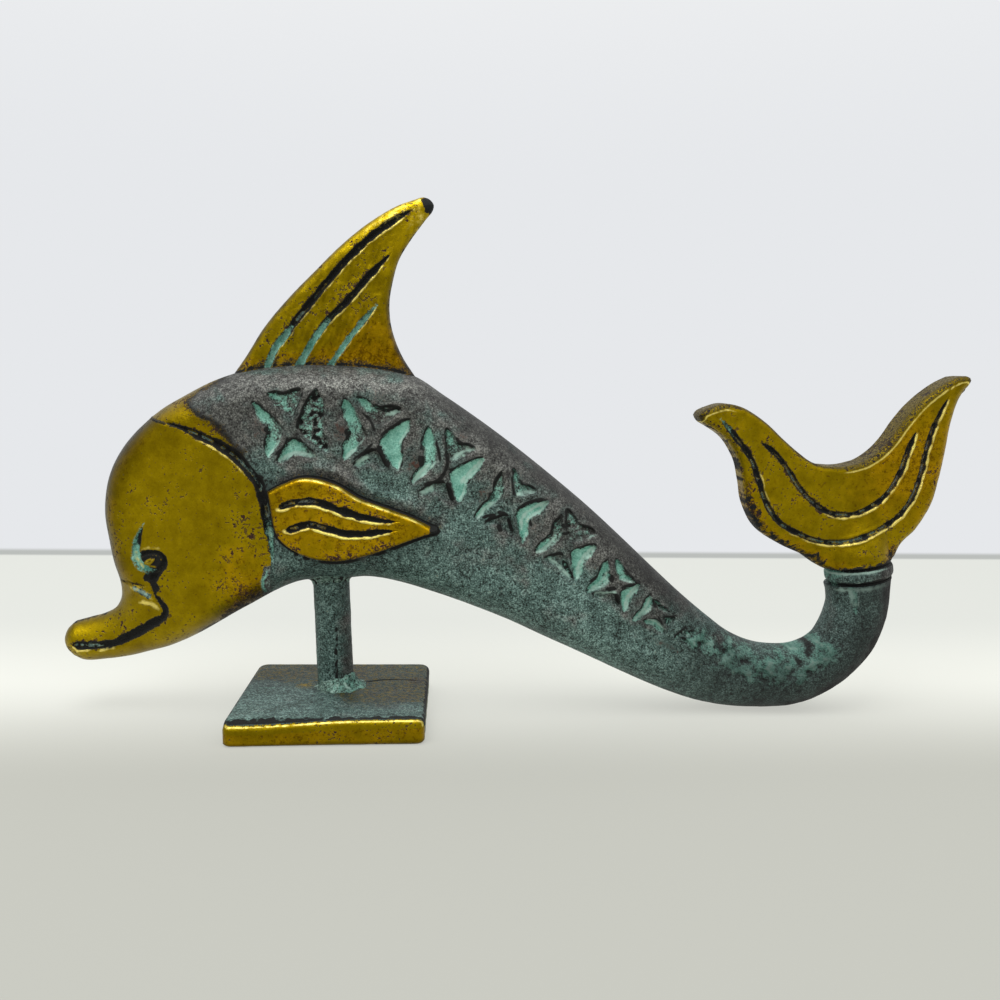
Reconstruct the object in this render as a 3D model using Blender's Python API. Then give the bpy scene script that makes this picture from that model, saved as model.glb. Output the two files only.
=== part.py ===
"""Brass dolphin figurine: castings pegged together, carried by a post on a square plate.

The dolphin lies in the XZ plane, nose towards -X, and is the same on both sides of y = 0.
The origin is on the post's axis at the underside of the plate.
"""

import math

import bmesh
import bpy
import numpy as np
from mathutils import Matrix, Vector
from mathutils.bvhtree import BVHTree

# Fits
CLEARANCE = 0.0003
BORE_OVERRUN = 0.0030

# Base plate
PLATE_WIDTH = 0.0338
PLATE_DEPTH = 0.0340
PLATE_THICKNESS = 0.0043
PLATE_CORNER_RADIUS = 0.0022
PLATE_EDGE_RADIUS = 0.0011
PLATE_AHEAD_OF_POST = 0.0035
PLATE_RIGHT_OF_POST = 0.0005

# Support post and the braze at its two ends
POST_DIAMETER = 0.0067
POST_EXPOSED_LENGTH = 0.0204
PLATE_FLOOR_UNDER_POST = 0.0014
POST_DEPTH_IN_BELLY = 0.0060
FOOT_BRAZE_WIDTH = 0.0014
FOOT_BRAZE_HEIGHT = 0.0017
BELLY_BRAZE_WIDTH = 0.0009
BELLY_BRAZE_HEIGHT = 0.0011

# Thicknesses across the dolphin, from side to side
BODY_THICKNESS = 0.0150
STEM_THICKNESS = 0.0122
BEAK_THICKNESS = 0.0080
FIN_ROOT_THICKNESS = 0.0050
FIN_TIP_THICKNESS = 0.0030
FLUKE_THICKNESS = 0.0070
FLIPPER_THICKNESS = 0.0028

# Radii that round the castings' edges, measured in the side view
BODY_EDGE_RADIUS = 0.0056
HEAD_EDGE_RADIUS = 0.0046
SEAM_EDGE_RADIUS = 0.0007
FIN_EDGE_RADIUS = 0.0018
FLUKE_EDGE_RADIUS = 0.0020
FLUKE_EDGE_WALL = 0.0030
FLIPPER_EDGE_RADIUS = 0.0016
FLIPPER_EDGE_WALL = 0.0008

# Pegs and tangs that join the castings
HEAD_PEG_DIAMETER = 0.0064
HEAD_PEG_LENGTH = 0.0080
FIN_TANG_THICKNESS = 0.0028
FIN_TANG_LENGTH = 0.0180
FIN_TANG_DEPTH = 0.0055
FLIPPER_PEG_DIAMETER = 0.0040
FLIPPER_PEG_LENGTH = 0.0024
TAIL_PEG_DIAMETER = 0.0062
TAIL_PEG_DEPTH = 0.0060
PEG_ROOT_LENGTH = 0.0030

# Collar between the tail stem and the fluke
COLLAR_DIAMETER = 0.0132
COLLAR_HEIGHT = 0.0029
COLLAR_EDGE_RADIUS = 0.0009
COLLAR_TILT = math.radians(9.5)
STEM_END_WIDTH = 0.0122
STEM_END = (0.0982, -0.0001)
FLUKE_ROOT_WIDTH = 0.0126
FLUKE_ROOT_BLEND = 0.0090
FLUKE_NOTCH_MARGIN = 0.12

# Shares of a casting's length, from its first rib, between which its thickness changes
BEAK_TO_FOREHEAD = (0.12, 0.62)
BODY_TO_STEM = (0.42, 0.80)

# Side-view points of the castings, (x, z) from the belly's seat on the post.
# Each rib joins a point of the lower edge to a point of the upper edge.
GILL_SEAM = [
    (-0.0108, -0.0025), (-0.0101, 0.0035), (-0.0099, 0.0090), (-0.0109, 0.0150),
    (-0.0144, 0.0213), (-0.0205, 0.0258), (-0.0262, 0.0280), (-0.0317, 0.0293),
]
HEAD_RIBS = [
    ((-0.0489, -0.0122), (-0.0489, -0.0103)),
    ((-0.0480, -0.0141), (-0.0471, -0.0082)),
    ((-0.0453, -0.0155), (-0.0442, -0.0076)),
    ((-0.0410, -0.0153), (-0.0415, -0.0068)),
    ((-0.0369, -0.0147), (-0.0394, -0.0055)),
    ((-0.0335, -0.0138), (-0.0383, -0.0033)),
    ((-0.0302, -0.0129), (-0.0383, -0.0005)),
    ((-0.0270, -0.0116), (-0.0392, 0.0032)),
    ((-0.0240, -0.0101), (-0.0399, 0.0079)),
    ((-0.0209, -0.0083), (-0.0403, 0.0132)),
    ((-0.0179, -0.0065), (-0.0394, 0.0186)),
    ((-0.0143, -0.0045), (-0.0364, 0.0244)),
]
BODY_RIBS = [
    ((-0.0089, -0.0016), (-0.0267, 0.0326)),
    ((-0.0063, -0.0006), (-0.0206, 0.0358)),
    ((-0.0035, -0.0001), (-0.0140, 0.0379)),
    ((-0.0005, 0.0000), (-0.0070, 0.0388)),
    ((0.0025, 0.0001), (0.0000, 0.0390)),
    ((0.0060, 0.0004), (0.0070, 0.0386)),
    ((0.0097, 0.0000), (0.0142, 0.0372)),
    ((0.0138, -0.0010), (0.0204, 0.0334)),
    ((0.0183, -0.0024), (0.0275, 0.0286)),
    ((0.0243, -0.0045), (0.0339, 0.0239)),
    ((0.0314, -0.0073), (0.0404, 0.0188)),
    ((0.0388, -0.0107), (0.0468, 0.0135)),
    ((0.0466, -0.0143), (0.0531, 0.0078)),
    ((0.0541, -0.0178), (0.0591, 0.0022)),
    ((0.0614, -0.0210), (0.0645, -0.0027)),
    ((0.0681, -0.0233), (0.0697, -0.0070)),
    ((0.0742, -0.0244), (0.0741, -0.0102)),
    ((0.0802, -0.0246), (0.0787, -0.0121)),
    ((0.0861, -0.0242), (0.0832, -0.0127)),
    ((0.0913, -0.0224), (0.0871, -0.0123)),
    ((0.0959, -0.0195), (0.0902, -0.0106)),
    ((0.0996, -0.0158), (0.0919, -0.0076)),
    ((0.1021, -0.0120), (0.0927, -0.0046)),
    ((0.1037, -0.0071), (0.0926, -0.0026)),
]

# Stars sunk in the body's sides, from the shoulder to the tail. Each has a top, right, bottom and left
# hollow, given by its inner corner, a tip, the notch in its outer edge and the other tip.
STAR_DEPTH = 0.0008
STARS = [
    [
        ((-0.0061, 0.0293), (-0.0044, 0.0344), (-0.0071, 0.0336), (-0.0101, 0.0335)),
        ((-0.0056, 0.0275), (0.0000, 0.0235), (-0.0006, 0.0274), (-0.0018, 0.0348)),
        ((-0.0059, 0.0264), (-0.0087, 0.0220), (-0.0055, 0.0233), (-0.0022, 0.0229)),
        ((-0.0072, 0.0275), (-0.0128, 0.0324), (-0.0099, 0.0275), (-0.0104, 0.0224)),
    ],
    [
        ((0.0086, 0.0279), (0.0129, 0.0312), (0.0085, 0.0314), (0.0052, 0.0332)),
        ((0.0088, 0.0257), (0.0122, 0.0205), (0.0126, 0.0253), (0.0143, 0.0296)),
        ((0.0081, 0.0246), (0.0047, 0.0215), (0.0076, 0.0219), (0.0102, 0.0209)),
        ((0.0071, 0.0267), (0.0030, 0.0332), (0.0039, 0.0272), (0.0029, 0.0222)),
    ],
    [
        ((0.0211, 0.0218), (0.0258, 0.0245), (0.0225, 0.0253), (0.0206, 0.0280)),
        ((0.0211, 0.0203), (0.0228, 0.0151), (0.0243, 0.0188), (0.0271, 0.0231)),
        ((0.0203, 0.0191), (0.0159, 0.0167), (0.0192, 0.0169), (0.0219, 0.0149)),
        ((0.0193, 0.0221), (0.0176, 0.0285), (0.0169, 0.0219), (0.0146, 0.0182)),
    ],
    [
        ((0.0331, 0.0160), (0.0366, 0.0171), (0.0339, 0.0182), (0.0325, 0.0209)),
        ((0.0331, 0.0137), (0.0343, 0.0077), (0.0351, 0.0121), (0.0389, 0.0154)),
        ((0.0315, 0.0131), (0.0279, 0.0116), (0.0299, 0.0111), (0.0331, 0.0091)),
        ((0.0307, 0.0158), (0.0307, 0.0207), (0.0289, 0.0160), (0.0258, 0.0122)),
    ],
    [
        ((0.0424, 0.0079), (0.0478, 0.0091), (0.0445, 0.0110), (0.0422, 0.0137)),
        ((0.0428, 0.0064), (0.0440, 0.0010), (0.0454, 0.0045), (0.0475, 0.0074)),
        ((0.0415, 0.0060), (0.0385, 0.0051), (0.0405, 0.0036), (0.0434, 0.0012)),
        ((0.0412, 0.0082), (0.0413, 0.0129), (0.0392, 0.0091), (0.0366, 0.0061)),
    ],
    [
        ((0.0516, 0.0011), (0.0548, 0.0005), (0.0531, 0.0021), (0.0512, 0.0048)),
        ((0.0521, -0.0009), (0.0528, -0.0047), (0.0541, -0.0020), (0.0555, 0.0001)),
        ((0.0509, -0.0011), (0.0472, -0.0014), (0.0500, -0.0024), (0.0523, -0.0038)),
        ((0.0500, 0.0005), (0.0497, 0.0048), (0.0479, 0.0015), (0.0461, -0.0011)),
    ],
    [
        ((0.0592, -0.0044), (0.0611, -0.0049), (0.0601, -0.0039), (0.0587, -0.0030)),
        ((0.0602, -0.0059), (0.0610, -0.0073), (0.0620, -0.0068), (0.0624, -0.0059)),
        ((0.0589, -0.0060), (0.0568, -0.0065), (0.0585, -0.0076), (0.0603, -0.0085)),
        ((0.0582, -0.0042), (0.0578, -0.0017), (0.0561, -0.0042), (0.0548, -0.0065)),
    ],
]

# Dorsal fin: the ends of its root on the back line, and (x, z) from the front end
FIN_ROOT_FRONT_X = -0.0180
FIN_ROOT_REAR_X = 0.0158
FIN_RIBS = [
    ((0.0032, 0.0033), (0.0306, 0.0035)),
    ((0.0063, 0.0082), (0.0288, 0.0083)),
    ((0.0103, 0.0130), (0.0284, 0.0125)),
    ((0.0153, 0.0181), (0.0290, 0.0165)),
    ((0.0201, 0.0228), (0.0301, 0.0203)),
    ((0.0251, 0.0268), (0.0320, 0.0235)),
    ((0.0300, 0.0297), (0.0338, 0.0260)),
    ((0.0330, 0.0311), (0.0355, 0.0280)),
    ((0.0350, 0.0312), (0.0365, 0.0298)),
]

# Flipper, (x, z) from its peg
FLIPPER_PEG_PLACE = (0.0030, 0.0120)
FLIPPER_RIBS = [
    ((-0.0122, -0.0014), (-0.0124, 0.0034)),
    ((-0.0112, -0.0038), (-0.0114, 0.0058)),
    ((-0.0088, -0.0056), (-0.0090, 0.0072)),
    ((-0.0052, -0.0068), (-0.0055, 0.0075)),
    ((-0.0008, -0.0072), (-0.0014, 0.0062)),
    ((0.0042, -0.0066), (0.0036, 0.0037)),
    ((0.0095, -0.0045), (0.0092, 0.0012)),
    ((0.0140, -0.0025), (0.0136, -0.0004)),
    ((0.0160, -0.0015), (0.0161, -0.0009)),
]

# Fluke, (along, up) from the middle of its root on the collar, left tip to right tip
FLUKE_LEFT_RIBS = [
    ((-0.0267, 0.0311), (-0.0267, 0.0317)),
    ((-0.0254, 0.0301), (-0.0254, 0.0329)),
    ((-0.0223, 0.0273), (-0.0218, 0.0334)),
    ((-0.0204, 0.0232), (-0.0185, 0.0323)),
    ((-0.0199, 0.0187), (-0.0148, 0.0292)),
    ((-0.0197, 0.0142), (-0.0117, 0.0254)),
    ((-0.0179, 0.0094), (-0.0092, 0.0225)),
    ((-0.0142, 0.0059), (-0.0070, 0.0203)),
    ((-0.0103, 0.0033), (-0.0052, 0.0189)),
]
FLUKE_RIGHT_RIBS = [
    ((0.0079, 0.0022), (0.0011, 0.0182)),
    ((0.0111, 0.0047), (0.0041, 0.0189)),
    ((0.0143, 0.0086), (0.0073, 0.0216)),
    ((0.0165, 0.0137), (0.0107, 0.0252)),
    ((0.0182, 0.0187), (0.0139, 0.0280)),
    ((0.0197, 0.0237), (0.0172, 0.0300)),
    ((0.0215, 0.0275), (0.0200, 0.0312)),
    ((0.0234, 0.0301), (0.0224, 0.0317)),
    ((0.0246, 0.0308), (0.0243, 0.0316)),
]

# Mesh fineness
ROUND_SEGMENTS = 32
RIM_ROWS = 4
MIDDLE_ROWS = 3

# Places worked out from the sizes
BELLY_SEAT = Vector((0.0, 0.0, PLATE_THICKNESS + POST_EXPOSED_LENGTH))
COLLAR_AXIS = np.array([-math.sin(COLLAR_TILT), math.cos(COLLAR_TILT)])
COLLAR_ACROSS = np.array([math.cos(COLLAR_TILT), math.sin(COLLAR_TILT)])
FLUKE_ROOT = np.array(STEM_END) + COLLAR_AXIS * (COLLAR_HEIGHT + 2 * CLEARANCE)


def clear_scene():
    for obj in list(bpy.data.objects):
        bpy.data.objects.remove(obj, do_unlink=True)


def principled(name, colour, roughness, metallic):
    material = bpy.data.materials.new(name)
    material.use_nodes = True
    shader = material.node_tree.nodes["Principled BSDF"]
    shader.inputs["Base Color"].default_value = (*colour, 1.0)
    shader.inputs["Roughness"].default_value = roughness
    shader.inputs["Metallic"].default_value = metallic
    return material


def smoothstep(value, low, high):
    t = np.clip((value - low) / (high - low), 0.0, 1.0)
    return t * t * (3.0 - 2.0 * t)


def spline(points, knots, at):
    """Points at parameters `at` of a smooth curve that passes each point at its knot."""
    points = np.asarray(points, float)
    slopes = np.gradient(points, knots, axis=0)
    i = np.clip(np.searchsorted(knots, at, side="right") - 1, 0, len(knots) - 2)
    span = (knots[i + 1] - knots[i])[:, None]
    t = (at - knots[i])[:, None] / span
    start = points[i] * (2 * t**3 - 3 * t**2 + 1) + slopes[i] * span * (t**3 - 2 * t**2 + t)
    finish = points[i + 1] * (3 * t**2 - 2 * t**3) + slopes[i + 1] * span * (t**3 - t**2)
    return start + finish


def chord_knots(*curves):
    """Knots from 0 to 1, spaced by the mean length of the curves' steps."""
    steps = [np.linalg.norm(np.diff(np.asarray(c, float), axis=0), axis=1) for c in curves]
    knots = np.concatenate([[0.0], np.cumsum(np.mean(steps, axis=0))])
    return knots / knots[-1]


def even_curve(points, at):
    """Points at the fractions `at` of the length of a smooth curve through the points."""
    fine = spline(points, chord_knots(points), np.linspace(0.0, 1.0, 400))
    length = np.concatenate([[0.0], np.cumsum(np.linalg.norm(np.diff(fine, axis=0), axis=1))])
    wanted = np.asarray(at) * length[-1]
    return np.stack([np.interp(wanted, length, fine[:, k]) for k in (0, 1)], axis=1)


def normals(curve):
    """Unit normals to the left of the direction of travel."""
    along = np.gradient(curve, axis=0)
    along /= np.linalg.norm(along, axis=1)[:, None]
    return np.stack([-along[:, 1], along[:, 0]], axis=1)


def distance_to(curve, points):
    """Shortest distance from each point to a curve given as a row of points."""
    start, step = curve[:-1], np.diff(curve, axis=0)
    offset = points[..., None, :] - start
    t = np.clip((offset * step).sum(-1) / np.maximum((step * step).sum(-1), 1e-18), 0.0, 1.0)
    return np.linalg.norm(offset - t[..., None] * step, axis=-1).min(-1)


def rounded(distance, radius):
    """Share of full thickness at a distance from an edge rounded with this radius."""
    inside = 1.0 - np.clip(distance / np.maximum(radius, 1e-9), 0.0, 1.0)
    return np.sqrt(np.maximum(1.0 - inside * inside, 0.0))


class Outline:
    """A casting's side view: a lower and an upper edge joined by two end edges."""

    def __init__(self, ribs, start=None, end=None, stations=24):
        lower = [rib[0] for rib in ribs]
        upper = [rib[1] for rib in ribs]
        knots = chord_knots(lower, upper)
        self.along = np.linspace(0.0, 1.0, stations + 1)
        self.lower = spline(lower, knots, self.along)
        self.upper = spline(upper, knots, self.along)
        fine = np.linspace(0.0, 1.0, 12 * len(ribs))
        self.lower_edge = spline(lower, knots, fine)
        self.upper_edge = spline(upper, knots, fine)
        self.start = [ribs[0][0], ribs[0][1]] if start is None else start
        self.end = [ribs[-1][0], ribs[-1][1]] if end is None else end
        self.start_edge = even_curve(self.start, np.linspace(0.0, 1.0, 60))

    def rows(self, radius):
        """Fractions across each station: close together where the edges are rounded."""
        width = np.linalg.norm(self.upper - self.lower, axis=1)
        rim = np.minimum(radius / np.maximum(width, 1e-9), 0.45)
        turn = np.linspace(0.0, math.pi / 2, RIM_ROWS + 1)
        low = rim[:, None] * (1.0 - np.cos(turn))
        middle = np.linspace(0.0, 1.0, MIDDLE_ROWS + 2)[1:-1]
        middle = rim[:, None] + (1.0 - 2.0 * rim[:, None]) * middle
        return np.concatenate([low, middle, 1.0 - low[:, ::-1]], axis=1)

    def grid(self, radius):
        """A point for each station and row, blended between the four edges."""
        v = self.rows(radius)
        u = np.broadcast_to(self.along[:, None], v.shape)[..., None]
        start = even_curve(self.start, v.ravel()).reshape(*v.shape, 2)
        end = even_curve(self.end, v.ravel()).reshape(*v.shape, 2)
        v = v[..., None]
        ruled = (1 - v) * self.lower[:, None] + v * self.upper[:, None]
        crossed = (1 - u) * start + u * end
        corners = (1 - u) * ((1 - v) * self.lower[0] + v * self.upper[0])
        corners = corners + u * ((1 - v) * self.lower[-1] + v * self.upper[-1])
        return ruled + crossed - corners


def sheet(points, heights):
    """A bmesh grid bent over (x, z) points, lifted to y = -height, with its edge walls.

    The walls run from the sheet's rim to y = 0, where a mirrored half or a back meets them.
    """
    columns, rows = points.shape[:2]
    bm = bmesh.new()
    bmesh.ops.create_grid(bm, x_segments=columns - 1, y_segments=rows - 1, size=0.5)
    for vert in bm.verts:
        i = round((vert.co.x + 0.5) * (columns - 1))
        j = round((vert.co.y + 0.5) * (rows - 1))
        x, z = points[i, j]
        vert.co = (x, -heights[i, j], z)
    rim = [edge for edge in bm.edges if edge.is_boundary]
    walls = bmesh.ops.extrude_edge_only(bm, edges=rim)
    for item in walls["geom"]:
        if isinstance(item, bmesh.types.BMVert):
            item.co.y = 0.0
    bmesh.ops.remove_doubles(bm, verts=bm.verts, dist=1e-6)
    bmesh.ops.dissolve_degenerate(bm, dist=1e-7, edges=bm.edges)
    return bm


def add_object(name, bm, material, place=None):
    """Turns a bmesh into a named object, its faces outward and its round sides smooth."""
    bmesh.ops.recalc_face_normals(bm, faces=bm.faces)
    mesh = bpy.data.meshes.new(name)
    bm.to_mesh(mesh)
    bm.free()
    mesh.shade_smooth()
    mesh.set_sharp_from_angle(angle=math.radians(40.0))
    if material:
        mesh.materials.append(material)
    obj = bpy.data.objects.new(name, mesh)
    obj.location = BELLY_SEAT if place is None else place
    bpy.context.scene.collection.objects.link(obj)
    return obj


def both_sides(obj):
    """Mirrors a half casting about y = 0."""
    mirror = obj.modifiers.new("Both sides", "MIRROR")
    mirror.use_axis = (False, True, False)
    mirror.use_clip = True
    mirror.merge_threshold = 0.00001


def combine(obj, tool, operation):
    """Joins a tool to an object or cuts it away, and keeps the tool as a hidden guide."""
    boolean = obj.modifiers.new(tool.name, "BOOLEAN")
    boolean.operation = operation
    boolean.solver = "EXACT"
    boolean.object = tool
    tool.hide_render = True
    tool.display_type = "WIRE"


def rod(name, start, end, diameter, place=None):
    """A round bar between two points, for a peg, a post or a bore."""
    start, end = Vector(start), Vector(end)
    direction = end - start
    turn = direction.to_track_quat("Z", "Y").to_matrix().to_4x4()
    bm = bmesh.new()
    bmesh.ops.create_cone(
        bm, cap_ends=True, segments=ROUND_SEGMENTS, radius1=diameter / 2, radius2=diameter / 2,
        depth=direction.length, matrix=Matrix.Translation((start + end) / 2) @ turn,
    )
    return add_object(name, bm, None, place)


def in_side_view(point, y=0.0):
    return Vector((point[0], y, point[1]))


def head_seam():
    """The head's side of the gill seam, a clearance short of the body's side."""
    seam = even_curve(GILL_SEAM, np.linspace(0.0, 1.0, 17))
    return seam + normals(seam) * CLEARANCE


def head_outline():
    seam = head_seam()
    ribs = HEAD_RIBS + [(tuple(seam[0]), tuple(seam[-1]))]
    return Outline(ribs, end=seam, stations=30)


def body_outline():
    half = COLLAR_ACROSS * STEM_END_WIDTH / 2
    inner, outer = np.array(STEM_END) - half, np.array(STEM_END) + half
    ribs = [(GILL_SEAM[0], GILL_SEAM[-1])] + BODY_RIBS + [(tuple(outer), tuple(inner))]
    return Outline(ribs, start=GILL_SEAM, stations=48)


def seam_softened(heights, points, seam):
    """Rounds the corner where a casting's flat side meets the seam's wall."""
    near = rounded(distance_to(np.asarray(seam), points), SEAM_EDGE_RADIUS)
    return np.minimum(heights, heights.max() - SEAM_EDGE_RADIUS * (1.0 - near))


def make_head(material):
    outline = head_outline()
    points = outline.grid(HEAD_EDGE_RADIUS)
    beak = BEAK_THICKNESS / 2
    swell = smoothstep(outline.along, *BEAK_TO_FOREHEAD)[:, None]
    full = beak + (BODY_THICKNESS / 2 - beak) * swell
    width = np.linalg.norm(outline.upper - outline.lower, axis=1)[:, None]
    radius = np.minimum(HEAD_EDGE_RADIUS, 0.5 * width)
    tip = np.array([outline.lower[0], outline.upper[0]])
    edge = np.concatenate([outline.lower_edge[::-1], tip, outline.upper_edge])
    heights = full * rounded(distance_to(edge, points), radius)
    heights = seam_softened(heights, points, outline.end)
    head = add_object("head", sheet(points, heights), material)
    both_sides(head)
    combine(head, head_peg("head_peg", 0.0), "UNION")
    return head


def head_peg(name, clearance):
    """The peg on the head's seam, or with a clearance the socket that takes it."""
    seam = even_curve(GILL_SEAM, np.linspace(0.0, 1.0, 17))
    middle = len(seam) // 2 - 2
    foot, out = seam[middle], -normals(seam)[middle]
    start = foot - out * PEG_ROOT_LENGTH
    end = foot + out * (HEAD_PEG_LENGTH + clearance)
    return rod(name, in_side_view(start), in_side_view(end), HEAD_PEG_DIAMETER + 2 * clearance)


def make_body(material):
    outline = body_outline()
    points = outline.grid(BODY_EDGE_RADIUS)
    taper = smoothstep(outline.along, *BODY_TO_STEM)[:, None]
    full = (BODY_THICKNESS + (STEM_THICKNESS - BODY_THICKNESS) * taper) / 2
    width = np.linalg.norm(outline.upper - outline.lower, axis=1)[:, None]
    radius = BODY_EDGE_RADIUS + (0.5 * width - BODY_EDGE_RADIUS) * smoothstep(taper, 0.5, 1.0)
    edge = np.minimum(
        distance_to(outline.lower_edge, points), distance_to(outline.upper_edge, points)
    )
    heights = seam_softened(full * rounded(edge, radius), points, GILL_SEAM)
    side = sheet(points, heights)
    hollows = star_hollows(side)
    body = add_object("body", side, material)
    both_sides(body)
    combine(body, hollows, "DIFFERENCE")
    combine(body, head_peg("head_socket", CLEARANCE), "DIFFERENCE")
    combine(body, post_bore(), "DIFFERENCE")
    combine(body, fin_tang("fin_slot", CLEARANCE), "DIFFERENCE")
    combine(body, tail_peg("tail_socket", CLEARANCE), "DIFFERENCE")
    for side, name in ((-1, "left_flipper_socket"), (1, "right_flipper_socket")):
        combine(body, flipper_peg(name, side, CLEARANCE), "DIFFERENCE")
    return body


def star_hollows(side):
    """The stars' hollows on both sides, their floors a depth below the body's side."""
    surface = BVHTree.FromBMesh(side)
    inward = Vector((0.0, 1.0, 0.0))
    bm = bmesh.new()
    for corners in [hollow for star in STARS for hollow in star]:
        floor = []
        for corner in corners:
            on_side = surface.ray_cast(in_side_view(corner, -BODY_THICKNESS), inward)[0]
            floor.append(bm.verts.new(on_side + inward * STAR_DEPTH))
        inner, first, notch, second = floor
        faces = [bm.faces.new((inner, first, notch)), bm.faces.new((inner, notch, second))]
        walls = bmesh.ops.extrude_face_region(bm, geom=faces)
        outer = [item for item in walls["geom"] if isinstance(item, bmesh.types.BMVert)]
        bmesh.ops.translate(bm, vec=-inward * (STAR_DEPTH + BORE_OVERRUN), verts=outer)
    everything = bm.verts[:] + bm.edges[:] + bm.faces[:]
    bmesh.ops.mirror(bm, geom=everything, axis="Y", merge_dist=0.00001)
    return add_object("star_hollows", bm, None)


def body_edge_fall(y):
    """How far the body's rounded edge falls away from its outline at a distance y from the middle."""
    share = min(abs(y) / (BODY_THICKNESS / 2), 1.0)
    return BODY_EDGE_RADIUS * (1.0 - math.sqrt(1.0 - share * share))


def fin_seat():
    """The stretch of the body's back line that carries the dorsal fin, front to rear."""
    back = body_outline().upper_edge
    back = back[: np.argmax(back[:, 0] > FIN_ROOT_REAR_X) + 1]
    x = np.linspace(FIN_ROOT_FRONT_X, FIN_ROOT_REAR_X, 13)
    return np.stack([x, np.interp(x, back[:, 0], back[:, 1])], axis=1)


def make_dorsal_fin(material):
    root = fin_seat()
    root = root + normals(root) * CLEARANCE
    corner = root[0]
    ribs = [(tuple(root[0]), tuple(root[-1]))]
    ribs += [(tuple(corner + low), tuple(corner + high)) for low, high in np.array(FIN_RIBS)]
    outline = Outline(ribs, start=root, stations=20)
    points = outline.grid(FIN_EDGE_RADIUS)
    thickness = FIN_ROOT_THICKNESS + (FIN_TIP_THICKNESS - FIN_ROOT_THICKNESS) * outline.along
    width = np.linalg.norm(outline.upper - outline.lower, axis=1)[:, None]
    radius = np.minimum(FIN_EDGE_RADIUS, 0.5 * width)
    tip = np.array([outline.lower[-1], outline.upper[-1]])
    edge = np.concatenate([outline.lower_edge, tip, outline.upper_edge[::-1]])
    heights = thickness[:, None] / 2 * rounded(distance_to(edge, points), radius)
    bm = sheet(points, heights)
    for vert in bm.verts:
        above_root = distance_to(outline.start_edge, np.array([vert.co.xz]))[0]
        if above_root < CLEARANCE:
            vert.co.z -= body_edge_fall(vert.co.y)
    fin = add_object("dorsal_fin", bm, material)
    both_sides(fin)
    combine(fin, fin_tang("fin_tang", 0.0), "UNION")
    return fin


def fin_tang(name, clearance):
    """The blade under the fin's root, or with a clearance the slot that takes it."""
    root = fin_seat()
    middle, along = root[6], root[7] - root[5]
    up = normals(root)[6]
    length = FIN_TANG_LENGTH + 2 * clearance
    depth = FIN_TANG_DEPTH + clearance + PEG_ROOT_LENGTH
    centre = middle + up * (PEG_ROOT_LENGTH - depth / 2)
    bm = bmesh.new()
    size = Matrix.Diagonal((length, FIN_TANG_THICKNESS + 2 * clearance, depth, 1.0))
    turn = Matrix.Rotation(-math.atan2(along[1], along[0]), 4, "Y")
    bmesh.ops.create_cube(bm, size=1.0, matrix=Matrix.Translation(in_side_view(centre)) @ turn @ size)
    return add_object(name, bm, None)


def make_flipper(name, side, material):
    """A leaf-shaped pad that stands proud of the body's side on a peg."""
    outline = Outline(FLIPPER_RIBS, stations=20)
    points = outline.grid(FLIPPER_EDGE_RADIUS)
    width = np.linalg.norm(outline.upper - outline.lower, axis=1)[:, None]
    radius = np.minimum(FLIPPER_EDGE_RADIUS, 0.5 * width)
    edge = np.concatenate([
        outline.lower_edge, outline.upper_edge[::-1], outline.lower_edge[:1],
    ])
    rise = FLIPPER_THICKNESS - FLIPPER_EDGE_WALL
    heights = FLIPPER_EDGE_WALL + rise * rounded(distance_to(edge, points), radius)
    bm = sheet(points, heights)
    bmesh.ops.contextual_create(bm, geom=[edge for edge in bm.edges if edge.is_boundary])
    bmesh.ops.scale(bm, vec=(1.0, -side, 1.0), verts=bm.verts)
    seat = side * (BODY_THICKNESS / 2 + CLEARANCE)
    bmesh.ops.translate(bm, vec=in_side_view(FLIPPER_PEG_PLACE, seat), verts=bm.verts)
    flipper = add_object(name, bm, material)
    combine(flipper, flipper_peg(name + "_peg", side, 0.0), "UNION")
    return flipper


def flipper_peg(name, side, clearance):
    """The peg behind a flipper, or with a clearance the socket in the body's side."""
    face = BODY_THICKNESS / 2
    outer = in_side_view(FLIPPER_PEG_PLACE, side * (face + FLIPPER_THICKNESS / 2))
    inner = in_side_view(FLIPPER_PEG_PLACE, side * (face - FLIPPER_PEG_LENGTH - clearance))
    return rod(name, outer, inner, FLIPPER_PEG_DIAMETER + 2 * clearance)


def from_fluke_root(pair):
    return tuple(FLUKE_ROOT + pair[0] * COLLAR_ACROSS + pair[1] * COLLAR_AXIS)


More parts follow.
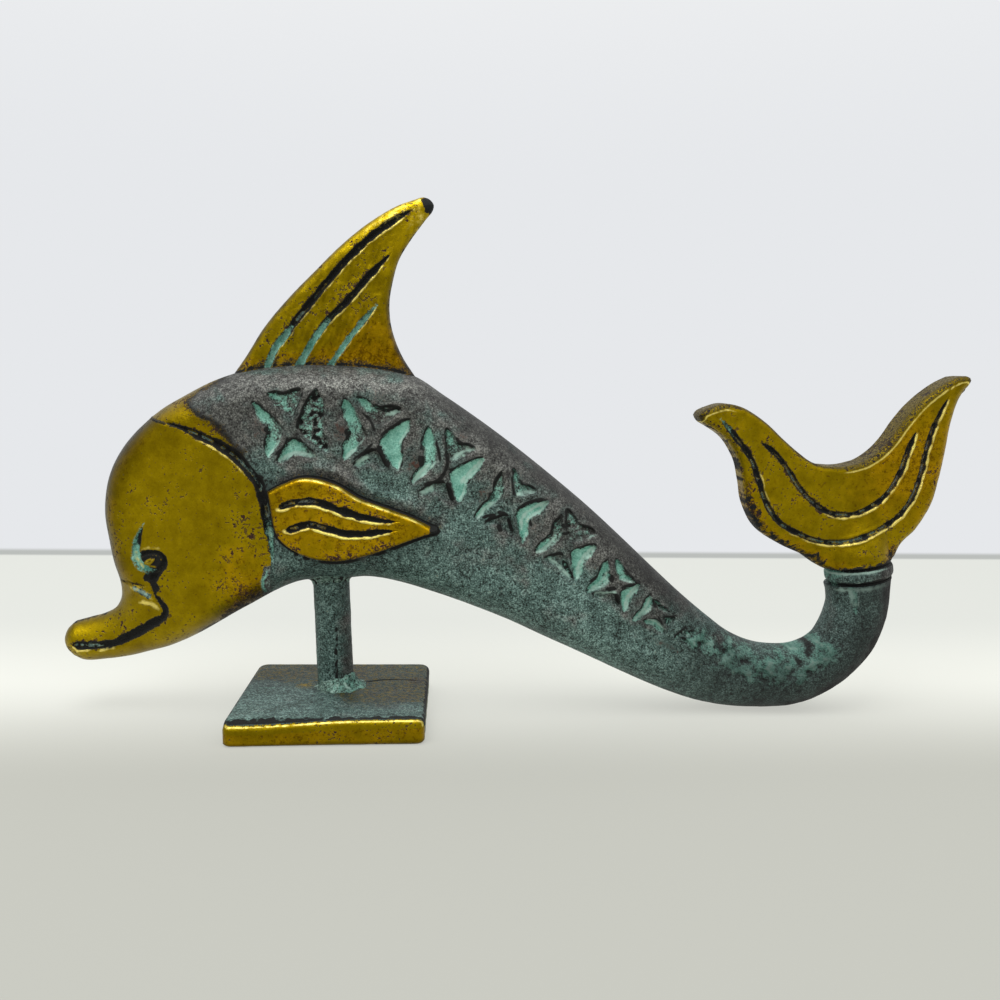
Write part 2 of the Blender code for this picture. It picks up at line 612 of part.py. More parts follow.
def make_tail_fluke(material):
    half = FLUKE_ROOT_WIDTH / 2
    left_top, right_top = FLUKE_LEFT_RIBS[-1][1], FLUKE_RIGHT_RIBS[0][1]
    middle = []
    for share in np.linspace(0.0, 1.0, 5):
        place = FLUKE_NOTCH_MARGIN + (1.0 - 2.0 * FLUKE_NOTCH_MARGIN) * share
        top = np.array(left_top) + (np.array(right_top) - left_top) * place
        middle.append(((half * (2 * share - 1), 0.0), tuple(top)))
    pairs = FLUKE_LEFT_RIBS + middle + FLUKE_RIGHT_RIBS
    ribs = [(from_fluke_root(low), from_fluke_root(high)) for low, high in pairs]
    outline = Outline(ribs, stations=44)
    points = outline.grid(FLUKE_EDGE_RADIUS)
    local = points - FLUKE_ROOT
    across, up = local @ COLLAR_ACROSS, local @ COLLAR_AXIS
    plate = FLUKE_THICKNESS / 2
    root = np.sqrt(np.maximum(half * half - across * across, 0.0))
    swell = np.maximum(root - plate, 0.0) * (1.0 - smoothstep(up, 0.0, FLUKE_ROOT_BLEND))
    full = plate + swell
    width = np.linalg.norm(outline.upper - outline.lower, axis=1)[:, None]
    radius = np.minimum(FLUKE_EDGE_RADIUS, 0.5 * width)
    wall = FLUKE_EDGE_WALL / 2
    on_root = 1.0 - smoothstep(up, 0.0, FLUKE_EDGE_RADIUS)
    low_wall = wall + np.maximum(root - wall, 0.0) * on_root
    low_wall = np.minimum(low_wall, full)
    low = low_wall + (full - low_wall) * rounded(distance_to(outline.lower_edge, points), radius)
    high = wall + (full - wall) * rounded(distance_to(outline.upper_edge, points), radius)
    fluke = add_object("tail_fluke", sheet(points, np.minimum(low, high)), material)
    both_sides(fluke)
    combine(fluke, tail_peg("tail_peg", 0.0), "UNION")
    return fluke


def tail_peg(name, clearance):
    """The peg below the fluke, through the collar, or the bore that takes it."""
    top = FLUKE_ROOT + COLLAR_AXIS * PEG_ROOT_LENGTH
    bottom = np.array(STEM_END) - COLLAR_AXIS * (TAIL_PEG_DEPTH + clearance)
    diameter = TAIL_PEG_DIAMETER + 2 * clearance
    return rod(name, in_side_view(top), in_side_view(bottom), diameter)


def ring(profile, centre):
    """A ring spun about +Z from a closed (radius, height) profile."""
    bm = bmesh.new()
    verts = [bm.verts.new((radius, 0.0, height)) for radius, height in profile]
    for a, b in zip(verts, verts[1:] + verts[:1]):
        bm.edges.new((a, b))
    bmesh.ops.spin(
        bm, geom=bm.verts[:] + bm.edges[:], cent=(0.0, 0.0, 0.0), axis=(0.0, 0.0, 1.0),
        angle=2 * math.pi, steps=ROUND_SEGMENTS, use_merge=True,
    )
    bmesh.ops.translate(bm, vec=centre, verts=bm.verts)
    return bm


def make_collar(material):
    outer = COLLAR_DIAMETER / 2
    inner = TAIL_PEG_DIAMETER / 2 + CLEARANCE
    edge = COLLAR_EDGE_RADIUS
    turns = np.linspace(0.0, math.pi / 2, 4)
    low = [(outer - edge * (1 - math.sin(t)), edge * (1 - math.cos(t))) for t in turns]
    high = [(radius, COLLAR_HEIGHT - height) for radius, height in reversed(low)]
    bm = ring([(inner, 0.0)] + low + high + [(inner, COLLAR_HEIGHT)], (0.0, 0.0, CLEARANCE))
    turn = Matrix.Rotation(-COLLAR_TILT, 4, "Y")
    bmesh.ops.transform(bm, matrix=Matrix.Translation(in_side_view(STEM_END)) @ turn, verts=bm.verts)
    return add_object("tail_collar", bm, material)


def post_bore():
    """The blind bore that takes the post's top, open at the belly."""
    top = (0.0, 0.0, POST_DEPTH_IN_BELLY + CLEARANCE)
    return rod("post_bore", (0.0, 0.0, -BORE_OVERRUN), top, POST_DIAMETER + 2 * CLEARANCE)


def make_post(material):
    low = PLATE_FLOOR_UNDER_POST + CLEARANCE
    high = BELLY_SEAT.z + POST_DEPTH_IN_BELLY
    post = rod("support_post", (0.0, 0.0, low), (0.0, 0.0, high), POST_DIAMETER, Vector())
    post.data.materials.append(material)
    return post


def make_plate(material):
    bm = bmesh.new()
    size = Matrix.Diagonal((PLATE_WIDTH, PLATE_DEPTH, PLATE_THICKNESS, 1.0))
    centre = (PLATE_RIGHT_OF_POST, -PLATE_AHEAD_OF_POST, PLATE_THICKNESS / 2)
    bmesh.ops.create_cube(bm, size=1.0, matrix=Matrix.Translation(centre) @ size)
    upright = [edge for edge in bm.edges if edge.verts[0].co.xy == edge.verts[1].co.xy]
    bmesh.ops.bevel(
        bm, geom=upright, offset=PLATE_CORNER_RADIUS, segments=5, affect="EDGES",
        profile=0.5, material=-1,
    )
    top = [edge for edge in bm.edges if min(v.co.z for v in edge.verts) > PLATE_THICKNESS / 2]
    bmesh.ops.bevel(
        bm, geom=top, offset=PLATE_EDGE_RADIUS, segments=3, affect="EDGES",
        profile=0.5, material=-1,
    )
    plate = add_object("base_plate", bm, material, Vector())
    bore = rod(
        "plate_bore", (0.0, 0.0, PLATE_FLOOR_UNDER_POST), (0.0, 0.0, PLATE_THICKNESS + BORE_OVERRUN),
        POST_DIAMETER + 2 * CLEARANCE, Vector(),
    )
    combine(plate, bore, "DIFFERENCE")
    return plate


def make_foot_braze(material):
    """The lumpy bead round the post's foot, fullest at the right and front."""
    inner = POST_DIAMETER / 2 + CLEARANCE
    outer = inner + FOOT_BRAZE_WIDTH
    height = FOOT_BRAZE_HEIGHT
    profile = [
        (inner, 0.0), (outer, 0.0), (outer - 0.25 * FOOT_BRAZE_WIDTH, 0.45 * height),
        (inner + 0.30 * FOOT_BRAZE_WIDTH, 0.85 * height), (inner, height),
    ]
    bm = ring(profile, (0.0, 0.0, PLATE_THICKNESS + CLEARANCE))
    floor = PLATE_THICKNESS + CLEARANCE
    for vert in bm.verts:
        angle = math.atan2(vert.co.y, vert.co.x)
        reach = math.hypot(vert.co.x, vert.co.y) - inner
        lump = 1.0 + 0.35 * math.cos(angle + 0.9) + 0.12 * math.cos(5 * angle)
        stretch = (inner + reach * lump) / (inner + reach)
        vert.co.x *= stretch
        vert.co.y *= stretch
        vert.co.z = floor + (vert.co.z - floor) * lump
    return add_object("foot_braze", bm, material, Vector())


def belly_height(x, y):
    """Height of the belly's rounded underside above its seat, at a point near the post."""
    outline = body_outline()
    line = np.interp(x, outline.lower_edge[:, 0], outline.lower_edge[:, 1])
    return line + body_edge_fall(y)


def make_belly_braze(material):
    """The small fillet where the post enters the belly, its top following the belly."""
    inner = POST_DIAMETER / 2 + CLEARANCE
    outer = inner + BELLY_BRAZE_WIDTH
    profile = [(inner, -BELLY_BRAZE_HEIGHT), (inner, 0.0), (outer, 0.0)]
    profile.append((inner + 0.35 * BELLY_BRAZE_WIDTH, -0.35 * BELLY_BRAZE_HEIGHT))
    bm = ring(profile, (0.0, 0.0, 0.0))
    for vert in bm.verts:
        vert.co.z += belly_height(vert.co.x, vert.co.y) - CLEARANCE
    return add_object("belly_braze", bm, material)


def main():
    clear_scene()
    brass = principled("burnished_brass", (0.42, 0.30, 0.04), 0.38, 1.0)
    patina = principled("verdigris_patina", (0.09, 0.14, 0.12), 0.70, 0.25)
    braze = principled("braze", (0.16, 0.25, 0.21), 0.80, 0.15)
    make_head(brass)
    make_body(patina)
    make_dorsal_fin(brass)
    make_flipper("left_flipper", -1, brass)
    make_flipper("right_flipper", 1, brass)
    make_tail_fluke(brass)
    make_collar(patina)
    make_post(patina)
    make_plate(patina)
    make_foot_braze(braze)
    make_belly_braze(braze)


main()
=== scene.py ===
"""Looks of a cast brass dolphin figurine on a post and plate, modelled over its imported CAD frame.

Lengths in this script are millimetres and become metres in the meshes. Side-view points are
(x, z) from the belly's seat on the post; the dolphin is the same on both sides of y = 0.
The numbers in the methods that carve and tint are places and widths in millimetres, read off the
side view, and amounts of a mark from 0 to 1.
"""

from __future__ import annotations

import logging
import math
from dataclasses import dataclass, field
from enum import Enum
from typing import Callable, Sequence

import bmesh
import bpy
import numpy as np
from mathutils import Matrix, Vector, noise


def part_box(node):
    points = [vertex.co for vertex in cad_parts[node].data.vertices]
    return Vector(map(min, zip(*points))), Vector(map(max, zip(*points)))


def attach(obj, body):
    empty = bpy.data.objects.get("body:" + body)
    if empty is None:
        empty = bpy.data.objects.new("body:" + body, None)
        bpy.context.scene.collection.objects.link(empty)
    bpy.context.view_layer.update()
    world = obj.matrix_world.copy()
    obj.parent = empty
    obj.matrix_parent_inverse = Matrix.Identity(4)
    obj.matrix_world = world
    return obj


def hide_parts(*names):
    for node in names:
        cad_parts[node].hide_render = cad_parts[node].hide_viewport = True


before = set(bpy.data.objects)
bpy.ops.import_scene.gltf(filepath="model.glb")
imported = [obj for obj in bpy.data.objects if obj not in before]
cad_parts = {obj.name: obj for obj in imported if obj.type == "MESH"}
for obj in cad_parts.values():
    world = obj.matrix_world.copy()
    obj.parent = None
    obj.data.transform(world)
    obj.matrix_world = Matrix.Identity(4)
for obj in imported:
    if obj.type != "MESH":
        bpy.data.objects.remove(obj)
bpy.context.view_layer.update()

LOG = logging.getLogger("dolphin")

Point = tuple[float, float]
Rib = tuple[Point, Point]
Colour = tuple[float, float, float]
Array = np.ndarray
Marks = dict[str, Array]
Mesh = bmesh.types.BMesh
Socket = bpy.types.NodeSocket

MM = 0.001
BODY = "root"

# Heights and centre lines read from the frame
PLATE_LOW, PLATE_HIGH = (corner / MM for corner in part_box("base_plate"))
POST_LOW, POST_HIGH = (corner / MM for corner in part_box("support_post"))
POST_RADIUS = (POST_HIGH.x - POST_LOW.x) / 2
POST_DEPTH_IN_BELLY = 6.0
SEAT = np.array([0.0, POST_HIGH.z - POST_DEPTH_IN_BELLY])

# Thicknesses and edge radii, as in the CAD
BODY_THICKNESS = 15.0
STEM_THICKNESS = 12.2
BODY_EDGE_RADIUS = 5.6
COLLAR_TILT = math.radians(9.5)
STEM_END = np.array([98.2, -0.1])
COLLAR_AXIS = np.array([-math.sin(COLLAR_TILT), math.cos(COLLAR_TILT)])
COLLAR_ACROSS = np.array([math.cos(COLLAR_TILT), math.sin(COLLAR_TILT)])
COLLAR_HEIGHT = 2.9
CLEARANCE = 0.3

# Seam between head and body, and the groove chased along it
GILL_SEAM: list[Point] = [
    (-10.8, -2.5), (-10.1, 3.5), (-9.9, 9.0), (-10.9, 15.0),
    (-14.4, 21.3), (-20.5, 25.8), (-26.2, 28.0), (-31.7, 29.3),
]
GILL_LEAD: list[Point] = [(-31.6, 29.25), (-30.2, 28.85), (-27.0, 28.2)]
FLIPPER_PLACE = np.array([3.0, 12.0])

# The marks that the finishes read from each mesh
# The groove mark is black grime in the carving and also painted shade in corners, creases, under parts and
# on walls that face away from the light; the tone mark is the metal's own shading and also painted shade
# and painted highlights.
POLISH, GROOVE_AND_SHADE, DEPOSIT, TONE, WARMTH = "polish", "groove", "deposit", "tone", "warmth"
# The shine mark is mostly painted highlights on lips, rims and edges that catch the light, and pale wear in
# a few places.
SHINE, RUST = "shine", "rust"

# How finely curves are sampled
CURVE_SAMPLES = 400
EDGE_SAMPLES = 60
PATH_SAMPLES = 140
DENSITY_SAMPLES = 2001
NEAREST_BLOCK = 4000

# Tolerances in metres, and a number that keeps divisions safe
WELD = 1e-6
FINE_WELD = 1e-7
TINY = 1e-9

QUARTER_TURN = math.pi / 2
WIDEST_RIM = 0.30
SHARP_ANGLE = math.radians(75.0)

# The way that light falls over the side view
LIGHT_FALL = (0.45, -0.89)


def smoothstep(value: Array | float, low: float, high: float) -> Array:
    """Smooth rise from 0 at low to 1 at high."""
    t = np.clip((np.asarray(value, float) - low) / (high - low), 0.0, 1.0)
    return t * t * (3.0 - 2.0 * t)


def falling(value: Array | float, low: float, high: float) -> Array:
    """Smooth fall from 1 at low to 0 at high."""
    return 1.0 - smoothstep(value, low, high)


def bell(value: Array | float, centre: float, width: float) -> Array:
    """Bump of height 1 at the centre that falls off over a width."""
    return np.exp(-(((np.asarray(value, float) - centre) / width) ** 2))


def rounded(distance: Array, radius: Array | float) -> Array:
    """Share of full thickness at a distance from an edge rounded with this radius."""
    inside = 1.0 - np.clip(distance / np.maximum(radius, TINY), 0.0, 1.0)
    return np.sqrt(np.maximum(1.0 - inside * inside, 0.0))


def spline(points: Sequence[Point] | Array, knots: Array, at: Array) -> Array:
    """Points on a smooth curve that passes each given point at its knot.

    Args:
        points: the points that the curve passes.
        knots: the rising parameter of each point.
        at: the parameters to read the curve at.

    Returns:
        One point for each parameter.
    """
    points = np.asarray(points, float)
    slopes = np.gradient(points, knots, axis=0)
    i = np.clip(np.searchsorted(knots, at, side="right") - 1, 0, len(knots) - 2)
    span = (knots[i + 1] - knots[i])[:, None]
    t = (at - knots[i])[:, None] / span
    start = points[i] * (2 * t**3 - 3 * t**2 + 1) + slopes[i] * span * (t**3 - 2 * t**2 + t)
    finish = points[i + 1] * (3 * t**2 - 2 * t**3) + slopes[i + 1] * span * (t**3 - t**2)
    return start + finish


def chord_knots(*curves: Sequence[Point]) -> Array:
    """Knots from 0 to 1, spaced by the mean length of the curves' steps."""
    steps = [np.linalg.norm(np.diff(np.asarray(c, float), axis=0), axis=1) for c in curves]
    knots = np.concatenate([[0.0], np.cumsum(np.mean(steps, axis=0))])
    return knots / knots[-1]


def along(curve: Array, at: Array | float) -> Array:
    """Points at fractions of the length of a row of points."""
    length = np.concatenate([[0.0], np.cumsum(np.linalg.norm(np.diff(curve, axis=0), axis=1))])
    wanted = np.asarray(at) * length[-1]
    return np.stack([np.interp(wanted, length, curve[:, k]) for k in (0, 1)], axis=-1)


def even_curve(points: Sequence[Point], at: Array) -> Array:
    """Points at fractions of the length of a smooth curve through the points."""
    return along(spline(points, chord_knots(points), np.linspace(0.0, 1.0, CURVE_SAMPLES)), at)


def normals(curve: Array) -> Array:
    """Unit normals to the left of the direction of travel."""
    step = np.gradient(curve, axis=0)
    step /= np.linalg.norm(step, axis=1)[:, None]
    return np.stack([-step[:, 1], step[:, 0]], axis=1)


@dataclass(frozen=True)
class Beside:
    """Where points lie beside a curve.

    Attributes:
        distance: the shortest distance to the curve.
        share: the share of the curve's length where that is.
        offset: the step from there to the point.
    """

    distance: Array
    share: Array
    offset: Array

    def ends(self, first: float, last: float) -> Array:
        """1 along the curve, fading to 0 over a share of its length at each end."""
        return smoothstep(self.share, 0.0, first) * falling(self.share, 1.0 - last, 1.0)

    def facing(self, way: Point) -> Array:
        """1 where a point lies off the curve in the given way, and -1 where it lies opposite."""
        return (self.offset @ np.array(way)) / np.maximum(self.distance, 1e-6)


def nearest(curve: Array, points: Array) -> Beside:
    """Where each point lies beside a curve given as a row of points."""
    start, step = curve[:-1], np.diff(curve, axis=0)
    size = np.linalg.norm(step, axis=1)
    passed = np.concatenate([[0.0], np.cumsum(size)])
    flat = points.reshape(-1, 2)
    feet, share = np.empty_like(flat), np.empty(len(flat))
    block = NEAREST_BLOCK
    for low in range(0, len(flat), block):
        offset = flat[low:low + block, None, :] - start
        t = np.clip((offset * step).sum(-1) / np.maximum(size * size, 1e-18), 0.0, 1.0)
        gap = np.linalg.norm(offset - t[..., None] * step, axis=-1)
        best = gap.argmin(axis=1)
        part = t[np.arange(len(best)), best]
        feet[low:low + block] = start[best] + part[:, None] * step[best]
        share[low:low + block] = (passed[best] + part * size[best]) / passed[-1]
    offset = points - feet.reshape(points.shape)
    return Beside(np.linalg.norm(offset, axis=-1), share.reshape(points.shape[:-1]), offset)


def within(outline: Array, points: Array) -> Array:
    """Which points lie inside a closed outline whose last point is its first."""
    x, z = points[..., 0, None], points[..., 1, None]
    a, b = outline[:-1], outline[1:]
    rise = np.where(np.abs(b[:, 1] - a[:, 1]) < 1e-9, 1e-9, b[:, 1] - a[:, 1])
    crossing = a[:, 0] + (z - a[:, 1]) * (b[:, 0] - a[:, 0]) / rise
    spans = (a[:, 1] > z) != (b[:, 1] > z)
    return (spans & (x < crossing)).sum(axis=-1) % 2 == 1


def ramp(value: Array, width: float) -> Array:
    """A straight rise from 0 to 1 over a width, 0.5 where the value is 0."""
    return np.clip(0.5 + value / width, 0.0, 1.0)


def grain(points: Array, size: float, layer: float = 0.0, octaves: int = 3) -> Array:
    """Smooth irregular values about 0 over side-view points.

    Args:
        points: any array of points.
        size: the width of the largest lumps.
        layer: a number that picks another pattern.
        octaves: how many finer patterns are added.

    Returns:
        One value for each point, mostly between -0.5 and 0.5.
    """
    flat = (points.reshape(-1, 2) / size).tolist()
    values = [noise.fractal(Vector((x, layer, z)), 1.0, 2.0, octaves) for x, z in flat]
    return np.array(values).reshape(points.shape[:-1])


def spread(count: int, *crowds: tuple[float, float, float]) -> Array:
    """Fractions from 0 to 1 that lie closer together in given stretches.

    Args:
        count: how many fractions.
        crowds: stretches as (low, high, gain), where gain multiplies the density.

    Returns:
        The rising fractions.
    """
    fine = np.linspace(0.0, 1.0, DENSITY_SAMPLES)
    density = np.ones_like(fine)
    for low, high, gain in crowds:
        soft = 0.02
        inside = smoothstep(fine, low - soft, low + soft) * falling(fine, high - soft, high + soft)
        density += (gain - 1.0) * inside
    total = np.concatenate([[0.0], np.cumsum((density[1:] + density[:-1]) / 2)])
    return np.interp(np.linspace(0.0, 1.0, count), total / total[-1], fine)


@dataclass
class Patch:
    """A side view bounded by a lower and an upper edge, read at stations, and two end edges."""

    lower: Array
    upper: Array
    start: Array
    end: Array
    stations: Array

    @classmethod
    def from_ribs(
        cls, ribs: Sequence[Rib], stations: Array,
        start: Sequence[Point] | None = None, end: Sequence[Point] | None = None,
    ) -> Patch:
        """A patch whose ribs join points of the lower edge to points of the upper edge.

        Args:
            ribs: pairs of (lower point, upper point), from start to end.
            stations: fractions from start to end that get a column of the grid.
            start: points of the start edge, or None for a straight one.
            end: points of the end edge, or None for a straight one.

        Returns:
            The patch, with both long edges as smooth curves.
        """
        low, high = [rib[0] for rib in ribs], [rib[1] for rib in ribs]
        knots = chord_knots(low, high)
        even = np.linspace(0.0, 1.0, EDGE_SAMPLES)
        first = even_curve(ribs[0] if start is None else start, even)
        last = even_curve(ribs[-1] if end is None else end, even)
        return cls(spline(low, knots, stations), spline(high, knots, stations), first, last, stations)

    def width(self) -> Array:
        """The distance between the long edges at each station, as a column."""
        return np.linalg.norm(self.upper - self.lower, axis=1)[:, None]

    def rows(self, radius: float, rim_rows: int, middle: Array) -> Array:
        """Fractions across each station: close together where the edges are rounded.

        Args:
            radius: the radius of the rounded edges.
            rim_rows: how many rows each rounded edge has.
            middle: rising fractions that space the rows between them.

        Returns:
            One row of fractions for each station.
        """
        rim = np.minimum(radius / np.maximum(self.width(), TINY), WIDEST_RIM)
        turn = np.linspace(0.0, QUARTER_TURN, rim_rows + 1)
        low = rim * (1.0 - np.cos(turn))
        between = rim + (1.0 - 2.0 * rim) * middle[1:-1]
        return np.concatenate([low, between, 1.0 - low[:, ::-1]], axis=1)

    def grid(self, v: Array) -> Array:
        """A point for each station and row, blended between the four edges."""
        u = np.broadcast_to(self.stations[:, None], v.shape)[..., None]
        start, end = along(self.start, v), along(self.end, v)
        v = v[..., None]
        ruled = (1 - v) * self.lower[:, None] + v * self.upper[:, None]
        crossed = (1 - u) * start + u * end
        corners = (1 - u) * ((1 - v) * self.lower[0] + v * self.upper[0])
        corners = corners + u * ((1 - v) * self.lower[-1] + v * self.upper[-1])
        return ruled + crossed - corners


@dataclass(frozen=True)
class ChasedLine:
    """A line cut with a punch: a U-shaped groove, with a painted highlight on its lower lip where the light
    catches it.

    Attributes:
        path: points of its middle line.
        width: full width where it is widest.
        depth: how deep it is there.
        start_taper: length over which it opens from a hairline at its start.
        end_taper: the same at its end.
        lip: how far the metal beside it is raised.
        deposit: pairs of (share of the length, amount of verdigris on its floor).
        shine: pairs of (share of the length, how bright the painted highlight on its lip is).
        shine_side: the side of the lip that gets the painted highlight.
        black: how dark its walls are, from 0 to 1.
        thread: pairs of (share of the length, amount of grey patina in the middle of its floor).
    """

    path: tuple[Point, ...]
    width: float = 1.1
    depth: float = 0.55
    start_taper: float = 3.0
    end_taper: float = 2.0
    lip: float = 0.10
    deposit: tuple[Point, ...] = ((0.0, 0.0), (1.0, 0.0))
    shine: tuple[Point, ...] = ((0.0, 0.9), (1.0, 0.9))
    shine_side: Point = LIGHT_FALL
    black: float = 1.0
    thread: tuple[Point, ...] = ((0.0, 0.0), (1.0, 0.0))


@dataclass(frozen=True)
class Hollow:
    """One of the four hollows between the ribs of a star.

    Attributes:
        corners: its inner corner, its first tip, the notch in its outer edge and its second tip.
        fill: how much verdigris lies at the first tip, at the second tip and at the inner corner.
        rough: how pitted its floor is.
        pit: the size of the black spot of painted shade in the deep pit outside its notch.
    """

    corners: tuple[Point, Point, Point, Point]
    fill: tuple[float, float, float] = (0.9, 0.9, 0.8)
    rough: float = 0.15
    pit: float = 0.0

    def outline(self) -> Array:
        """Its rim: blunt lobes with bulging sides, as one closed row of points."""
        inner, first, notch, second = (np.array(corner) for corner in self.corners)
        middle, blunt = (inner + notch) / 2, 0.45
        first, second = (
            tip + blunt * (tip - middle) / np.linalg.norm(tip - middle) for tip in (first, second))
        ring = [inner, first, notch, second]
        sides = list(zip(ring, ring[1:] + ring[:1]))
        area = sum(a[0] * b[1] - a[1] * b[0] for a, b in sides)
        rounded_ring = []
        for (a, b), bulge in zip(sides, (0.05, 0.13, 0.13, 0.05)):
            outward = np.array([b[1] - a[1], a[0] - b[0]]) * math.copysign(1.0, area)
            rounded_ring += [a, (a + b) / 2 + bulge * outward]
        curve = np.array(rounded_ring)
        for cut in (0.20, 0.25, 0.25):
            after = np.roll(curve, -1, axis=0)
            pairs = [curve + cut * (after - curve), after + cut * (curve - after)]
            curve = np.stack(pairs, axis=1).reshape(-1, 2)
        return np.concatenate([curve, curve[:1]])


@dataclass
class Relief:
    """The height and the marks of a casting's side, over a grid of side-view points."""

    points: Array
    height: Array
    marks: Marks = field(default_factory=dict)

    def mark(self, **values: float) -> None:
        """Starts marks with one value all over."""
        for name, value in values.items():
            self.marks[name] = np.full(self.height.shape, float(value))

    def raise_mark(self, name: str, value: Array) -> None:
        """Raises a mark to a value wherever that is higher."""
        self.marks[name] = np.maximum(self.marks[name], value)

    def lower_mark(self, name: str, share: Array) -> None:
        """Takes a share of a mark away."""
        self.marks[name] = self.marks[name] * (1.0 - np.clip(share, 0.0, 1.0))

    def add_mark(self, name: str, value: Array) -> None:
        """Adds to a mark, which may go up or down."""
        self.marks[name] = self.marks[name] + value

    def tint(self, mask: Array, **amounts: float) -> None:
        """Adds to tone and warmth, and raises the other marks, by amounts times a mask."""
        for name, amount in amounts.items():
            paint = self.add_mark if name in (TONE, WARMTH) else self.raise_mark
            paint(name, amount * mask)

    def axes(self) -> tuple[Array, Array]:
        """The two side-view coordinates over the grid."""
        return self.points[..., 0], self.points[..., 1]

    def spot(self, x: float, z: float, width: float, height: float) -> Array:
        """A soft spot of value 1 about a point, over a width and a height."""
        return bell(self.points[..., 0], x, width) * bell(self.points[..., 1], z, height)

    def raise_near(self, name: str, near: Array, value: Array) -> None:
        """Raises a mark over the part of the grid that a mask picks."""
        self.marks[name][near] = np.maximum(self.marks[name][near], value)

    def beside(self, path: Sequence[Point] | Array, reach: float) -> tuple[Array, Beside]:
        """The grid's points near a path.

        Args:
            path: points of the path.
            reach: how far from it a point still counts.

        Returns:
            A mask over the grid, and where the masked points lie beside the path.
        """
        curve = even_curve(path, np.linspace(0.0, 1.0, PATH_SAMPLES))
        low, high = curve.min(axis=0) - reach, curve.max(axis=0) + reach
        near = ((self.points > low) & (self.points < high)).all(axis=-1)
        return near, nearest(curve, self.points[near])

    def chase(self, line: ChasedLine) -> None:
        """Cuts a chased line and marks its black walls, its deposit and the painted highlight on its lip.
        """
        near, beside = self.beside(line.path, 3 * line.width)
        length = chord_length(line.path)
        opening = smoothstep(beside.share * length, -0.3, max(line.start_taper, 0.1))
        closing = smoothstep((1 - beside.share) * length, -0.3, max(line.end_taper, 0.1))
        wobble = 1.0 + 0.30 * grain(self.points[near], 2.2, line.path[0][0], 3)
        size = np.sqrt(opening * closing) * wobble
        half = np.maximum(line.width / 2 * size, 0.04)
        distance = beside.distance
        cut = falling(distance / half, 0.15, 1.05)
        # The lip on the side the light falls on is raised more and gets a painted highlight.
        sheen_and_wear = smoothstep(beside.facing(line.shine_side), 0.0, 0.6)
        lip = bell(distance - half, 0.16, 0.24) * (distance > half * 0.6)
        self.height[near] += size * (line.lip * lip * (0.5 + sheen_and_wear) - line.depth * cut)
        thread = np.interp(beside.share, *zip(*line.thread)) * bell(distance / half, 0.1, 0.42)
        thread *= smoothstep(grain(self.points[near], 1.5, 9.0, 3), -0.34, 0.04)
        thread *= smoothstep(size, 0.3, 0.7)
        dark = line.black * ramp(half - distance, 0.9) * smoothstep(size, 0.05, 0.4)
        self.raise_near(GROOVE_AND_SHADE, near, dark * (1.0 - thread))
        self.marks[POLISH][near] *= 1.0 - thread
        self.raise_near(SHINE, near, 0.42 * thread)
        amount = np.interp(beside.share, *zip(*line.deposit))
        self.raise_near(DEPOSIT, near, amount * ramp(0.72 * half - distance + 0.1, 0.8))
        # Painted highlight, broken, along the lip on the lit side.
        amount = np.interp(beside.share, *zip(*line.shine)) * smoothstep(size, 0.1, 0.5)
        broken = 1.0 + 0.9 * grain(self.points[near], 1.6, 4.0, 2)
        self.raise_near(SHINE, near, amount * broken * sheen_and_wear * bell(distance - half, 0.12, 0.22))

    def stroke(
        self, name: str, path: Sequence[Point], width: float, amount: float, fade: float = 0.15,
    ) -> None:
        """Raises a mark along a path.

        Args:
            name: the mark.
            path: points of the path.
            width: its full width.
            amount: the mark's highest value.
            fade: the share of the length over which each end fades out.
        """
        near, beside = self.beside(path, width + 1.0)
        ends = beside.ends(fade, fade)
        uneven = 0.12 * grain(self.points[near], 0.9, path[0][0], 3)
        half = width / 2 * (0.35 + 0.65 * ends)
        self.raise_near(name, near, amount * ramp(half - beside.distance + uneven, 0.9))

    def tarnish_edge(self, from_edge: Array, width: float) -> None:
        """Darkens a strip along an edge unevenly."""
        uneven = 0.45 + 0.30 * grain(self.points, 1.1, 18.0)
        strip = falling(from_edge, 0.0, width)
        self.raise_mark(GROOVE_AND_SHADE, uneven * strip)
        self.raise_mark(TONE, 0.20 * strip)

    def bead(self, path: Sequence[Point], width: float, rise: float) -> Array:
        """Raises a rounded ridge along a path and returns its share of full height."""
        near, beside = self.beside(path, 2.5 * width)
        ends = beside.ends(0.15, 0.15)
        ridge = np.zeros(self.height.shape)
        ridge[near] = bell(beside.distance, 0.0, width / 2) * ends
        self.height += rise * ridge
        return ridge

    def cut_hollow(self, hollow: Hollow, depth: float) -> Array:
        """Cuts one hollow of a star, with painted shade on its upper wall, a painted highlight on its lower
        wall, and verdigris.

        Args:
            hollow: the hollow.
            depth: how deep it is.

        Returns:
            How close each point outside the hollow is to its rim, from 0 to 1.
        """
        outline = hollow.outline()
        margin = 1.6
        low, high = outline.min(axis=0) - margin, outline.max(axis=0) + margin
        near = ((self.points > low) & (self.points < high)).all(axis=-1)
        place = self.points[near]
        beside = nearest(outline, place)
        inside = np.where(within(outline, place), beside.distance, -beside.distance)
        uneven = 0.22 * grain(place, 1.3, hollow.corners[0][0], 3)
        pits = grain(place, 0.7, hollow.corners[0][1], 3)
        floor = smoothstep(inside + uneven, -0.10, 0.42)
        self.height[near] -= depth * floor * (1.0 + 0.7 * hollow.rough * pits)

        inner, first, notch, second = (np.array(corner) for corner in hollow.corners)
        gaps = [np.linalg.norm(place - corner, axis=-1) for corner in (first, second, inner)]
        pulls = [1.0 / (gap * gap + 0.6) for gap in gaps]
        fill = sum(pull * share for pull, share in zip(pulls, hollow.fill)) / sum(pulls)
        fill = fill * (1.0 - hollow.rough * smoothstep(pits, 0.0, 0.22))
        self.raise_near(DEPOSIT, near, fill * ramp(inside + uneven - 0.10, 0.9))

